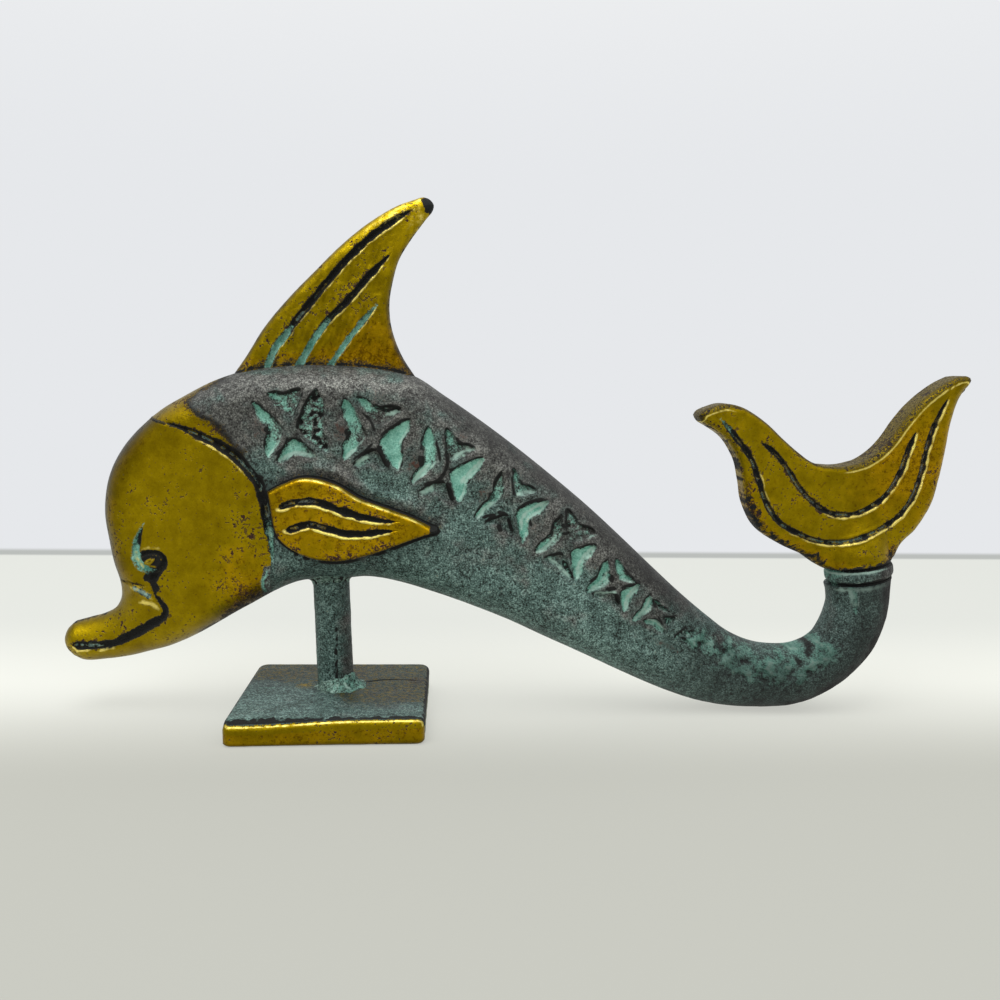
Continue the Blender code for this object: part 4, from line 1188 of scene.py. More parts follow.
# The hollows of each star, in the order top, right, bottom and left
STARS: tuple[tuple[Hollow, ...], ...] = (
    (
        Hollow(((-6.1, 29.3), (-4.4, 34.4), (-7.1, 33.6), (-10.1, 33.5)), (0.35, 0.95, 0.45), 0.45),
        Hollow(((-5.6, 27.5), (0.0, 23.5), (-0.6, 27.4), (-1.8, 34.8)), (0.50, 0.50, 0.50), 0.95),
        Hollow(((-5.9, 26.4), (-8.7, 22.0), (-5.5, 23.3), (-2.2, 22.9)), (0.85, 0.45, 0.75), 0.15),
        Hollow(((-7.2, 27.5), (-12.8, 32.4), (-9.9, 27.5), (-10.4, 22.4)), (1.0, 1.0, 0.35), 0.15, 0.9),
    ),
    (
        Hollow(((8.6, 27.9), (12.9, 31.2), (8.5, 31.4), (5.2, 33.2)), (0.10, 1.0, 0.15), 0.2, 0.7),
        Hollow(((8.8, 25.7), (12.2, 20.5), (12.6, 25.3), (14.3, 29.6)), (0.95, 0.95, 1.0), 0.05),
        Hollow(((8.1, 24.6), (4.7, 21.5), (7.6, 21.9), (10.2, 20.9)), (0.65, 0.10, 0.10), 0.2),
        Hollow(((7.1, 26.7), (3.0, 33.2), (3.9, 27.2), (2.9, 22.2)), (1.0, 1.0, 0.30), 0.1, 1.1),
    ),
    (
        Hollow(((21.1, 21.8), (25.8, 24.5), (22.5, 25.3), (20.6, 28.0)), (0.25, 0.80, 0.30), 0.2, 0.6),
        Hollow(((21.1, 20.3), (22.8, 15.1), (24.3, 18.8), (27.1, 23.1)), (1.0, 0.95, 1.0), 0.05, 0.4),
        Hollow(((20.3, 19.1), (15.9, 16.7), (19.2, 16.9), (21.9, 14.9)), (0.85, 0.10, 0.10), 0.2),
        Hollow(((19.3, 22.1), (17.6, 28.5), (16.9, 21.9), (14.6, 18.2)), (1.0, 1.0, 0.55), 0.1, 1.3),
    ),
    (
        Hollow(((33.1, 16.0), (36.6, 17.1), (33.9, 18.2), (32.5, 20.9)), (0.45, 0.85, 0.45), 0.25, 0.4),
        Hollow(((33.1, 13.7), (34.3, 7.7), (35.1, 12.1), (38.9, 15.4)), (0.95, 0.95, 1.0), 0.1, 0.5),
        Hollow(((31.5, 13.1), (27.9, 11.6), (29.9, 11.1), (33.1, 9.1)), (0.10, 0.10, 0.05), 0.6),
        Hollow(((30.7, 15.8), (30.7, 20.7), (28.9, 16.0), (25.8, 12.2)), (0.35, 1.0, 0.55), 0.2, 1.0),
    ),
    (
        Hollow(((42.4, 7.9), (47.8, 9.1), (44.5, 11.0), (42.2, 13.7)), (0.40, 0.45, 0.25), 0.6),
        Hollow(((42.8, 6.4), (44.0, 1.0), (45.4, 4.5), (47.5, 7.4)), (0.95, 0.90, 0.95), 0.25),
        Hollow(((41.5, 6.0), (38.5, 5.1), (40.5, 3.6), (43.4, 1.2)), (0.60, 0.60, 0.15), 0.4),
        Hollow(((41.2, 8.2), (41.3, 12.9), (39.2, 9.1), (36.6, 6.1)), (0.35, 0.95, 0.45), 0.2, 0.5),
    ),
    (
        Hollow(((51.6, 1.1), (54.8, 0.5), (53.1, 2.1), (51.2, 4.8)), (0.80, 1.0, 0.80), 0.3),
        Hollow(((52.1, -0.9), (52.8, -4.7), (54.1, -2.0), (55.5, 0.1)), (1.0, 0.95, 1.0), 0.1),
        Hollow(((50.9, -1.1), (47.2, -1.4), (50.0, -2.4), (52.3, -3.8)), (0.45, 0.25, 0.10), 0.3),
        Hollow(((50.0, 0.5), (49.7, 4.8), (47.9, 1.5), (46.1, -1.1)), (0.85, 1.0, 0.80), 0.3, 0.4),
    ),
    (
        Hollow(((59.2, -4.4), (61.1, -4.9), (60.1, -3.9), (58.7, -3.0)), (0.80, 0.85, 0.70), 0.3),
        Hollow(((60.2, -5.9), (61.0, -7.3), (62.0, -6.8), (62.4, -5.9)), (0.60, 0.65, 0.60), 0.4),
        Hollow(((58.9, -6.0), (56.8, -6.5), (58.5, -7.6), (60.3, -8.5)), (0.85, 1.0, 0.80), 0.2),
        Hollow(((58.2, -4.2), (57.8, -1.7), (56.1, -4.2), (54.8, -6.5)), (0.95, 1.0, 0.80), 0.2),
    ),
)
SMALL_STAR_DEPTH = 0.45
SMALL_STARS: tuple[Hollow, ...] = (
    Hollow(((64.1, -9.7), (66.0, -8.9), (65.1, -8.7), (64.4, -8.2)), (0.75, 0.75, 0.65), 0.4),
    Hollow(((63.6, -9.2), (64.4, -8.2), (63.3, -8.7), (62.7, -9.8)), (0.80, 0.85, 0.65), 0.4),
    Hollow(((65.1, -10.2), (63.9, -9.9), (65.0, -11.0), (66.7, -11.9)), (0.60, 0.60, 0.55), 0.5),
    Hollow(((67.2, -10.6), (67.7, -12.3), (68.3, -11.4), (69.4, -10.8)), (0.65, 0.55, 0.55), 0.5),
    Hollow(((71.2, -12.1), (70.4, -10.1), (70.7, -11.8), (70.6, -14.1)), (0.55, 0.55, 0.50), 0.5),
    Hollow(((71.5, -12.6), (71.4, -13.7), (72.7, -13.6), (74.3, -12.4)), (0.50, 0.55, 0.50), 0.5),
)

# Black slots beside the ribs, dark patina with painted shade, and painted highlights along ridges by the
# hollows, as (width, path)
SHADED_SLOTS: tuple[tuple[float, tuple[Point, ...]], ...] = (
    (0.50, ((-10.1, 33.6), (-8.0, 33.8), (-4.6, 34.4))),
    (0.35, ((-5.9, 29.8), (-5.0, 32.2), (-4.1, 34.1))),
    (0.30, ((-11.8, 32.4), (-10.1, 30.2), (-8.3, 28.6), (-7.2, 27.4))),
    (0.45, ((-9.0, 23.1), (-7.3, 24.8), (-6.8, 26.3))),
    (0.30, ((-5.6, 26.9), (-4.2, 25.3), (-2.1, 23.6))),
    (0.45, ((3.8, 32.5), (4.8, 29.6), (6.7, 27.1))),
    (0.40, ((5.9, 30.8), (7.6, 29.0), (8.3, 27.2))),
    (0.55, ((8.0, 32.1), (9.7, 31.1), (12.8, 31.4))),
    (0.50, ((9.3, 26.7), (11.3, 28.2), (13.8, 29.9))),
    (1.10, ((8.7, 25.0), (9.6, 23.3), (10.6, 21.1))),
    (0.40, ((4.4, 22.4), (6.7, 24.1), (8.1, 25.6))),
    (0.30, ((14.3, 28.8), (13.5, 26.7), (12.9, 25.4), (13.1, 22.9), (12.5, 20.4))),
    (1.20, ((16.0, 23.1), (17.0, 21.5))),
    (0.40, ((16.4, 26.3), (16.2, 24.2))),
    (0.50, ((18.8, 26.1), (19.3, 24.1), (19.7, 22.0))),
    (0.60, ((20.4, 24.9), (20.9, 22.4), (19.7, 19.3), (16.3, 18.0))),
    (0.50, ((22.3, 26.5), (23.2, 25.5), (25.0, 25.2))),
    (0.45, ((21.1, 20.8), (24.0, 21.5), (26.7, 23.0))),
    (0.90, ((20.9, 18.6), (21.3, 17.0), (21.9, 15.2))),
    (0.50, ((24.3, 18.4), (25.1, 19.7), (26.9, 21.5))),
    (0.70, ((28.2, 16.7), (29.3, 15.9))),
    (0.30, ((29.2, 19.6), (29.0, 17.4))),
    (0.40, ((30.5, 18.1), (30.7, 16.3))),
    (0.40, ((32.2, 19.6), (32.4, 17.8), (32.7, 16.3))),
    (0.40, ((33.6, 19.1), (34.3, 18.2), (35.7, 18.0))),
    (0.60, ((33.1, 13.8), (35.8, 15.3), (38.1, 15.8))),
    (0.60, ((27.1, 12.4), (29.3, 12.9))),
    (0.60, ((29.8, 13.4), (31.3, 13.1))),
    (0.80, ((29.9, 11.2), (30.4, 9.8))),
    (0.60, ((31.7, 12.3), (32.4, 9.6))),
    (0.50, ((35.3, 12.2), (35.8, 10.9))),
    (0.80, ((41.2, 10.9), (42.9, 11.2))),
    (0.60, ((41.3, 9.6), (42.7, 9.6))),
    (0.45, ((37.0, 7.6), (38.9, 9.1))),
    (0.50, ((43.0, 6.2), (45.2, 7.2), (47.3, 7.8))),
    (0.80, ((41.6, 4.5), (42.4, 3.1), (43.5, 1.4))),
    (0.50, ((39.0, 5.6), (41.3, 6.2))),
    (1.00, ((50.1, 2.1), (50.5, 0.9))),
    (0.80, ((49.4, -0.6), (51.2, -0.4))),
    (0.70, ((51.3, -1.3), (51.9, -3.3))),
    (0.40, ((52.3, 3.6), (54.7, 1.0))),
    (0.50, ((52.1, -0.3), (55.2, 0.7))),
    (0.50, ((46.3, 0.9), (48.2, 2.1), (49.1, 3.6))),
    (0.60, ((58.1, -2.5), (58.7, -4.0))),
    (0.40, ((59.1, -5.5), (60.1, -7.5))),
    (0.40, ((63.6, -9.7), (66.7, -11.4))),
    (0.40, ((65.5, -9.2), (67.4, -11.2))),
)
RIDGE_HIGHLIGHTS: tuple[tuple[float, tuple[Point, ...]], ...] = (
    (0.50, ((-8.2, 22.3), (-5.9, 23.4), (-2.3, 23.0))),
    (0.60, ((4.8, 21.5), (6.3, 22.6), (7.3, 23.1))),
    (0.50, ((10.1, 30.3), (12.4, 30.9))),
    (0.60, ((3.1, 22.6), (4.4, 24.1))),
    (0.70, ((14.9, 18.5), (16.1, 20.2), (17.7, 21.6))),
    (0.60, ((15.8, 16.6), (17.2, 16.9), (18.3, 17.9))),
    (0.50, ((21.5, 22.7), (23.3, 23.8), (25.4, 24.4))),
    (0.50, ((23.3, 18.4), (24.0, 19.5), (25.4, 21.0), (26.8, 22.6))),
    (0.50, ((26.2, 12.3), (27.5, 13.9), (29.1, 15.0))),
    (0.40, ((33.2, 16.5), (34.7, 16.9), (36.3, 17.1))),
    (0.50, ((34.0, 10.1), (34.2, 12.2), (35.8, 13.8), (38.5, 15.3))),
    (0.50, ((39.0, 5.0), (40.5, 4.0), (42.9, 1.4))),
    (0.40, ((37.1, 6.1), (39.0, 7.5), (40.4, 9.1))),
    (0.40, ((44.1, 1.6), (44.5, 4.0), (47.1, 7.2))),
    (0.40, ((46.6, -0.8), (48.7, 0.9), (49.9, 3.1))),
    (0.35, ((47.3, -1.3), (51.2, -1.1))),
    (0.40, ((53.0, -4.3), (53.6, -2.0), (55.3, 0.2))),
    (0.40, ((55.0, -6.0), (56.6, -4.5), (57.8, -2.3))),
    (0.40, ((57.2, -6.2), (58.6, -6.5), (60.2, -8.0))),
)


@dataclass
class Body:
    """The long patinated casting from the gill groove to the tail's stem."""

    ribs: list[Rib] = field(default_factory=lambda: [
        ((-8.9, -1.6), (-26.7, 32.6)), ((-6.3, -0.6), (-20.6, 35.8)), ((-3.5, -0.1), (-14.0, 37.9)),
        ((-0.5, 0.0), (-7.0, 38.8)), ((2.5, 0.1), (0.0, 39.0)), ((6.0, 0.4), (7.0, 38.6)),
        ((9.7, 0.0), (14.2, 37.2)), ((13.8, -1.0), (20.4, 33.4)), ((18.3, -2.4), (27.5, 28.6)),
        ((24.3, -4.5), (33.9, 23.9)), ((31.4, -7.3), (40.4, 18.8)), ((38.8, -10.7), (46.8, 13.5)),
        ((46.6, -14.3), (53.1, 7.8)), ((54.1, -17.8), (59.1, 2.2)), ((61.4, -21.0), (64.5, -2.7)),
        ((68.1, -23.3), (69.7, -7.0)), ((74.2, -24.4), (74.1, -10.2)), ((80.2, -24.6), (78.7, -12.1)),
        ((86.1, -24.2), (83.2, -12.7)), ((91.3, -22.4), (87.1, -12.3)), ((95.9, -19.5), (90.2, -10.6)),
        ((99.6, -15.8), (91.9, -7.6)), ((102.1, -12.0), (92.7, -4.6)), ((103.7, -7.1), (92.6, -2.6)),
    ])
    stem_end_width: float = 12.2
    body_to_stem: tuple[float, float] = (0.42, 0.80)
    stations: int = 392
    middle_rows: int = 104

    def patch(self) -> Patch:
        """The body's side view."""
        half = COLLAR_ACROSS * self.stem_end_width / 2
        inner, outer = tuple(STEM_END - half), tuple(STEM_END + half)
        ribs = [(GILL_SEAM[0], GILL_SEAM[-1])] + self.ribs + [(outer, inner)]
        ribs.insert(1, ((-9.85, -2.05), (-29.3, 31.08)))
        return Patch.from_ribs(ribs, spread(self.stations, (0.0, 0.60, 1.5)), start=GILL_SEAM)

    def relief(self) -> tuple[Relief, Array, Array]:
        """The body's side before it is carved, and the distances from its upper and lower edges."""
        patch = self.patch()
        middle = spread(self.middle_rows, (0.36, 0.93, 2.2))
        points = patch.grid(patch.rows(BODY_EDGE_RADIUS, 8, middle))
        taper = smoothstep(patch.stations, *self.body_to_stem)[:, None]
        full = (BODY_THICKNESS + (STEM_THICKNESS - BODY_THICKNESS) * taper) / 2
        round_stem = smoothstep(taper, 0.5, 1.0)
        radius = BODY_EDGE_RADIUS + (0.5 * patch.width() - BODY_EDGE_RADIUS) * round_stem
        from_low = nearest(patch.lower, points).distance
        from_high = nearest(patch.upper, points).distance
        relief = Relief(points, full * rounded(np.minimum(from_low, from_high), radius))
        relief.mark(polish=0.0, groove=0.0, deposit=0.0, tone=0.5, warmth=0.3, shine=0.0, rust=0.0)
        return relief, from_high, from_low

    def tone_down(self, relief: Relief, from_high: Array, from_low: Array) -> None:
        """Where the patina is pale, dark, violet-brown or teal."""
        x = relief.points[..., 0]
        share = from_low / np.maximum(from_low + from_high, 1e-6)
        relief.add_mark(WARMTH, 0.62 * smoothstep(share, 0.42, 0.80) - 0.14)
        behind_fin = smoothstep(x, 12.0, 24.0)
        ragged = 1.2 * grain(relief.points, 2.5, 11.0)
        back = falling(from_high + ragged, 0.5, 1.4 + 3.4 * behind_fin)
        back = back * falling(x, 57.0, 70.0)
        relief.add_mark(TONE, -0.30 * back * (0.3 + 0.7 * behind_fin))
        relief.add_mark(WARMTH, 0.3 * back * behind_fin)
        relief.raise_mark(GROOVE_AND_SHADE, 0.38 * back * behind_fin)
        relief.add_mark(TONE, -0.16 * falling(from_low, 0.1, 1.2))
        outline = ramp(0.15 - np.minimum(from_high, from_low), 0.6)
        outline *= 1.0 - 0.75 * smoothstep(x, 56.0, 64.0)
        relief.raise_mark(GROOVE_AND_SHADE, (0.47 + 0.25 * grain(relief.points, 1.1, 17.0)) * outline)
        self.tone_sides(relief, from_high, share)
        self.tone_tail(relief, from_high + 0.5 * ragged, from_low + ragged)

    def tone_sides(self, relief: Relief, from_high: Array, share: Array) -> None:
        """The painted highlight on the shoulder, the painted shade under the fin, the dark stretches at the
        belly, and the flank.
        """
        x, z = relief.axes()
        # Painted highlight where the rounded shoulder catches the light, a little warmer.
        shoulder = relief.spot(2.0, 35.3, 13.0, 1.3)
        relief.tint(shoulder, tone=0.42, shine=0.14, warmth=0.3)
        # Painted shade along the back under the fin.
        shade_under_fin = bell(x, 1.0, 15.0) * falling(from_high, 0.3, 1.5)
        relief.tint(shade_under_fin, tone=-0.16, groove=0.46)
        belly = bell(x, -1.0, 8.0) * falling(z, 2.0, 8.0)
        relief.add_mark(TONE, -0.14 * belly)
        relief.raise_mark(GROOVE_AND_SHADE, 0.30 * bell(x, -7.5, 3.0) * falling(z, 3.0, 8.0))
        flank = bell(x, 26.0, 24.0) * smoothstep(share, 0.05, 0.3) * falling(share, 0.7, 0.9)
        relief.add_mark(TONE, 0.05 * flank)

    def tone_tail(self, relief: Relief, from_high: Array, from_low: Array) -> None:
        """The dark teal tail, darker and speckled black along the outside of its bend, with a stain before
        it.
        """
        x, z = relief.axes()
        tail = smoothstep(x, 48.0, 78.0)
        relief.tint(tail, tone=-0.34, warmth=-0.60)
        inner_bend = smoothstep(x, 66.0, 78.0) * falling(from_high, 0.8, 4.0)
        relief.add_mark(TONE, 0.10 * inner_bend)
        outer_bend = smoothstep(x, 72.0, 90.0) * falling(from_low, 1.2, 6.2)
        relief.add_mark(TONE, -0.12 * outer_bend)
        relief.raise_mark(GROOVE_AND_SHADE, (0.52 + 0.25 * grain(relief.points, 3.5, 15.0, 2)) * outer_bend)
        relief.add_mark(WARMTH, 0.25 * outer_bend)
        relief.add_mark(TONE, 0.05 * grain(relief.points, 7.0, 12.0, 3))
        relief.raise_mark(RUST, 0.55 * bell(x, 61.0, 4.0) * bell(z + 0.45 * (x - 61.0), -11.2, 1.0))

    def bare_brass(self, relief: Relief, from_high: Array) -> None:
        """The brass left bare on the shoulder above the gill groove."""
        x, z = relief.axes()
        border = (
            (23.6, -15.0), (25.6, -16.7), (28.7, -19.7), (30.4, -22.5), (32.4, -24.0),
            (33.75, -22.4), (35.3, -20.2), (35.9, -19.4), (36.3, -19.0), (38.0, -18.5),
        )
        edge = np.interp(z, *zip(*border))
        beyond = edge - x + 0.9 * grain(relief.points, 3.0, 9.0)
        above = smoothstep(z, 20.0, 23.4)
        bare = ramp(beyond, 3.2) * above
        relief.raise_mark(POLISH, bare)
        relief.lower_mark(WARMTH, 0.85 * bare)
        relief.add_mark(WARMTH, 0.35 * bare)
        relief.add_mark(TONE, -0.07 * bare - 0.06 * bare * falling(from_high, 0.5, 4.0))
        relief.raise_mark(GROOVE_AND_SHADE, 0.52 * bell(beyond, 0.1, 1.8) * above)
        relief.add_mark(TONE, -0.12 * bell(beyond, -0.6, 1.8) * above)
        gill = nearest(np.array(GILL_SEAM), relief.points).distance
        relief.stroke(GROOVE_AND_SHADE, GILL_LEAD, 0.6, 0.8, 0.4)
        sooty = falling(gill, 1.0, 6.5) * bell(z, 18.8, 3.2)
        relief.raise_mark(GROOVE_AND_SHADE, (0.50 + 0.45 * grain(relief.points, 0.9, 16.0)) * sooty)
        relief.add_mark(TONE, -0.10 * sooty)

    def seat_flipper(self, relief: Relief, flipper: Flipper) -> None:
        """Painted shade in the corner round the flipper, a painted shadow above it, and the ridge that runs
        along its top.
        """
        near, beside = relief.beside(flipper.ring() + FLIPPER_PLACE, 3.0)
        above = smoothstep(beside.facing((0.25, 0.97)), -0.2, 0.5)
        # Painted shade: a black line in the corner round the flipper, wider below it; and a painted
        # olive-brown shadow on the body above it.
        contact_shade, shadow = np.zeros(relief.height.shape), np.zeros(relief.height.shape)
        contact_shade[near] = ramp(0.25 + 0.50 * (1.0 - above) - beside.distance, 0.9)
        shadow[near] = above * falling(beside.distance, 0.5, 1.9)
        relief.raise_mark(GROOVE_AND_SHADE, contact_shade)
        relief.tint(shadow, tone=-0.13, warmth=0.35, polish=0.24)
        ridge_path = [tuple(FLIPPER_PLACE + high + (0.2, 1.7)) for high in np.array(flipper.ribs[3:])[:, 1]]
        ridge = relief.bead(ridge_path, 1.7, 0.45)
        relief.tint(ridge, tone=0.05, warmth=0.3)

    def crust(self, relief: Relief, from_high: Array) -> None:
        """The rough verdigris past the last stars, and the wedge below the collar."""
        path = (
            (63.5, -8.4), (69.5, -11.9), (75.5, -14.5), (82.4, -15.8), (87.6, -14.7), (91.0, -11.6),
            (92.6, -8.4),
        )
        near, beside = relief.beside(path, 6.0)
        place = relief.points[near]
        lumps = grain(place, 1.9, 5.0, 4)
        patches = grain(place, 5.0, 6.0, 2)
        middle = 1.6 + 1.3 * smoothstep(beside.share, 0.05, 0.35)
        reach = falling(beside.distance + 1.5 * patches, 0.35 * middle, 1.6 * middle)
        amount = reach * beside.ends(0.10, 0.12)
        relief.height[near] += 0.60 * amount * lumps * smoothstep(from_high[near], 1.0, 3.0)
        relief.raise_near(DEPOSIT, near, amount * (0.58 + 0.55 * lumps))
        relief.raise_near(GROOVE_AND_SHADE, near, 0.55 * amount * smoothstep(-lumps, 0.16, 0.34))
        # Painted highlights on the tops of the lumps.
        relief.raise_near(SHINE, near, 0.50 * amount * smoothstep(lumps, 0.08, 0.32))
        relief.marks[TONE][near] -= 0.05 * amount
        relief.marks[WARMTH][near] -= 0.4 * amount
        relief.chase(ChasedLine(
            path=((95.3, -0.9), (95.7, -2.6), (96.1, -5.4)), width=1.4, depth=0.35, start_taper=0.1,
            end_taper=5.0, lip=0.0, deposit=((0.0, 1.0), (1.0, 0.9)), black=0.35,
        ))
        below = STEM_END - 0.45 * COLLAR_AXIS
        seam = (tuple(below - 5.4 * COLLAR_ACROSS), tuple(below + 5.0 * COLLAR_ACROSS))
        relief.stroke(SHINE, seam, 0.7, 0.9, 0.05)
        relief.stroke(SHINE, ((95.3, -1.2), (95.6, -2.6), (95.9, -4.4)), 1.0, 0.8)

    def cut_stars(self, relief: Relief) -> None:
        """The row of stars, with the shaded slots and the painted ridge highlights that frame their
        hollows.
        """
        for star in STARS:
            close = sum(relief.cut_hollow(hollow, STAR_DEPTH) for hollow in star)
            arms = smoothstep(close, 1.05, 1.6)
            relief.tint(arms, tone=-0.13, groove=0.30)
        for hollow in SMALL_STARS:
            relief.cut_hollow(hollow, SMALL_STAR_DEPTH)
        for width, path in SHADED_SLOTS:
            relief.stroke(GROOVE_AND_SHADE, path, width, 1.0)
        for width, path in RIDGE_HIGHLIGHTS:
            relief.stroke(SHINE, path, width, 1.05)
        ribbon = relief.bead(((19.8, 27.6), (21.0, 23.0), (20.2, 20.0), (16.2, 17.6)), 1.2, 0.05)
        relief.tint(ribbon, tone=-0.14, warmth=0.4)

    def build(self, workshop: Workshop, flipper: Flipper) -> None:
        """Models, carves and dresses the body."""
        relief, from_high, from_low = self.relief()
        self.tone_down(relief, from_high, from_low)
        relief.roughen((6.0, 0.14), (1.7, 0.07), (0.8, 0.05))
        relief.chase(GILL_GROOVE)
        self.cut_stars(relief)
        self.bare_brass(relief, from_high)
        self.seat_flipper(relief, flipper)
        self.crust(relief, from_high)
        rim = np.minimum(from_high, from_low) < 1e-6
        relief.height[rim] = 0.0
        workshop.add("body_casting", two_sided(relief), Slot.PATINA, "body")


@dataclass
class DorsalFin:
    """The swept fin with its three chased lines."""

    root_front_x: float = -18.0
    root_rear_x: float = 15.8
    ribs: list[Rib] = field(default_factory=lambda: [
        ((3.2, 3.3), (30.6, 3.5)), ((6.3, 8.2), (28.8, 8.3)), ((10.3, 13.0), (28.4, 12.5)),
        ((15.3, 18.1), (29.0, 16.5)), ((20.1, 22.8), (30.1, 20.3)), ((25.1, 26.8), (32.0, 23.5)),
        ((30.0, 29.7), (33.8, 26.0)), ((32.5, 30.6), (35.1, 27.7)),
    ])
    tip: tuple[Point, ...] = (
        (32.5, 30.6), (34.5, 31.15), (35.6, 30.7), (36.2, 29.85), (36.0, 28.8), (35.1, 27.7))
    root_thickness: float = 5.0
    tip_thickness: float = 3.0
    edge_radius: float = 1.8
    sunk: float = 0.6
    stations: int = 170
    middle_rows: int = 130

    def root(self, body: Body) -> Array:
        """The stretch of the body's back line that carries the fin, front to rear."""
        back = body.patch().upper
        back = back[: np.argmax(back[:, 0] > self.root_rear_x) + 1]
        x = np.linspace(self.root_front_x, self.root_rear_x, 13)
        return np.stack([x, np.interp(x, back[:, 0], back[:, 1])], axis=1)

    def relief(self, root: Array) -> tuple[Relief, Array, Array]:
        """The fin's side before it is carved, and its distances from its outline and root."""
        up = normals(root)
        corner = root[0] + up[0] * CLEARANCE
        sunk = root - up * self.sunk
        ribs = [(tuple(sunk[0]), tuple(sunk[-1]))]
        ribs += [(tuple(corner + low), tuple(corner + high)) for low, high in np.array(self.ribs)]
        patch = Patch.from_ribs(
            ribs, spread(self.stations, (0.93, 1.0, 2.5)), start=[tuple(p) for p in sunk],
            end=[tuple(corner + place) for place in np.array(self.tip)])
        points = patch.grid(patch.rows(self.edge_radius, 6, np.linspace(0.0, 1.0, self.middle_rows)))
        thickness = self.root_thickness + (self.tip_thickness - self.root_thickness) * patch.stations
        radius = np.minimum(self.edge_radius, 0.5 * patch.width())
        from_edge = nearest(np.concatenate([patch.lower, patch.end, patch.upper[::-1]]), points).distance
        from_root = nearest(root, points).distance
        relief = Relief(points, thickness[:, None] / 2 * rounded(from_edge, radius))
        relief.mark(polish=1.0, groove=0.0, deposit=0.0, tone=0.48, warmth=0.15, shine=0.0)
        return relief, from_edge, from_root

    def lines(self) -> list[ChasedLine]:
        """The three chased lines, front to rear."""
        glints = ((0.0, 0.65), (0.5, 0.5), (1.0, 0.3))
        dashes = ((0.0, 0.0), (0.3, 0.35), (0.6, 0.5), (0.75, 1.0), (1.0, 1.0))
        filled = ((0.0, 0.9), (1.0, 1.0))
        return [
            ChasedLine(
                path=((14.8, 66.1), (10.7, 63.65), (4.6, 58.7), (1.5, 55.4), (-2.0, 51.3),
                      (-6.2, 46.0), (-7.9, 43.7), (-9.5, 41.6), (-11.0, 38.4)),
                width=1.3, depth=0.60, start_taper=6.0, end_taper=0.2,
                deposit=((0.0, 0.0), (0.76, 0.0), (0.82, 0.9), (1.0, 1.0)), shine=glints, thread=dashes),
            ChasedLine(
                path=((10.9, 58.5), (7.0, 54.5), (3.4, 50.3), (-0.3, 46.6), (-2.8, 43.1), (-5.6, 38.3)),
                width=1.25, depth=0.60, start_taper=6.0, end_taper=0.2,
                deposit=((0.0, 0.0), (0.45, 0.1), (0.6, 0.35), (0.7, 0.9), (1.0, 1.1)), shine=glints,
                thread=dashes),
            ChasedLine(
                path=((8.3, 49.4), (5.1, 45.6), (2.6, 42.4), (-0.2, 38.3)),
                width=0.95, depth=0.50, start_taper=4.0, end_taper=0.2,
                deposit=((0.0, 0.8), (1.0, 1.1)), shine=glints, thread=filled),
        ]

    def build(self, workshop: Workshop, body: Body) -> None:
        """Models, carves and dresses the fin."""
        root = self.root(body)
        relief, from_edge, from_root = self.relief(root)
        relief.roughen((4.0, 0.10), (1.4, 0.07), (0.7, 0.03))
        for line in self.lines():
            relief.chase(line)
        x, z = relief.axes()
        relief.add_mark(TONE, -0.20 * falling(from_edge, 0.15, 0.9))
        relief.tarnish_edge(from_edge, 0.45)
        # Painted highlight on the upper part of the fin, where the light falls, brighter towards the top.
        lit = smoothstep(z, 48.0, 67.0) * falling(from_edge, 1.2, 3.6)
        relief.add_mark(TONE, 0.24 * lit + 0.10 * smoothstep(z, 46.0, 66.0) - 0.07)
        relief.raise_mark(SHINE, 0.35 * lit * smoothstep(z, 55.0, 65.0))
        hammered = grain(np.stack([x * 0.9 - z * 0.3, z * 0.25 + x * 0.25], axis=-1), 0.8, 13.0, 2)
        relief.add_mark(TONE, 0.16 * hammered)
        amber = relief.spot(8.0, 42.0, 9.0, 7.0)
        relief.add_mark(WARMTH, 0.7 * amber)
        corner = relief.spot(14.0, 39.5, 4.5, 3.5)
        relief.tint(corner, tone=-0.16, groove=0.30)
        ragged = 0.9 * grain(relief.points, 1.2, 2.0)
        relief.lower_mark(POLISH, 0.25 * falling(from_root + ragged, 0.2, 1.6))
        relief.raise_mark(GROOVE_AND_SHADE, 0.48 * falling(from_root + ragged, 0.4, 2.4))
        relief.add_mark(WARMTH, 0.5 * falling(from_root + ragged, 0.5, 4.5))
        # Painted shade: a thin black line in the crease along the root.
        relief.raise_mark(GROOVE_AND_SHADE, ramp(0.22 - from_root + 0.4 * ragged, 0.9))
        blob = np.linalg.norm(relief.points - np.array([17.9, 67.0]), axis=-1)
        relief.lower_mark(SHINE, ramp(1.9 - blob, 0.9))
        relief.raise_mark(GROOVE_AND_SHADE, 1.3 * ramp(1.6 - blob + 0.4 * ragged, 0.9))
        relief.height[:, 0] = relief.height[:, -1] = 0.0
        workshop.add("fin_casting", two_sided(relief), Slot.BRASS, "dorsal_fin")


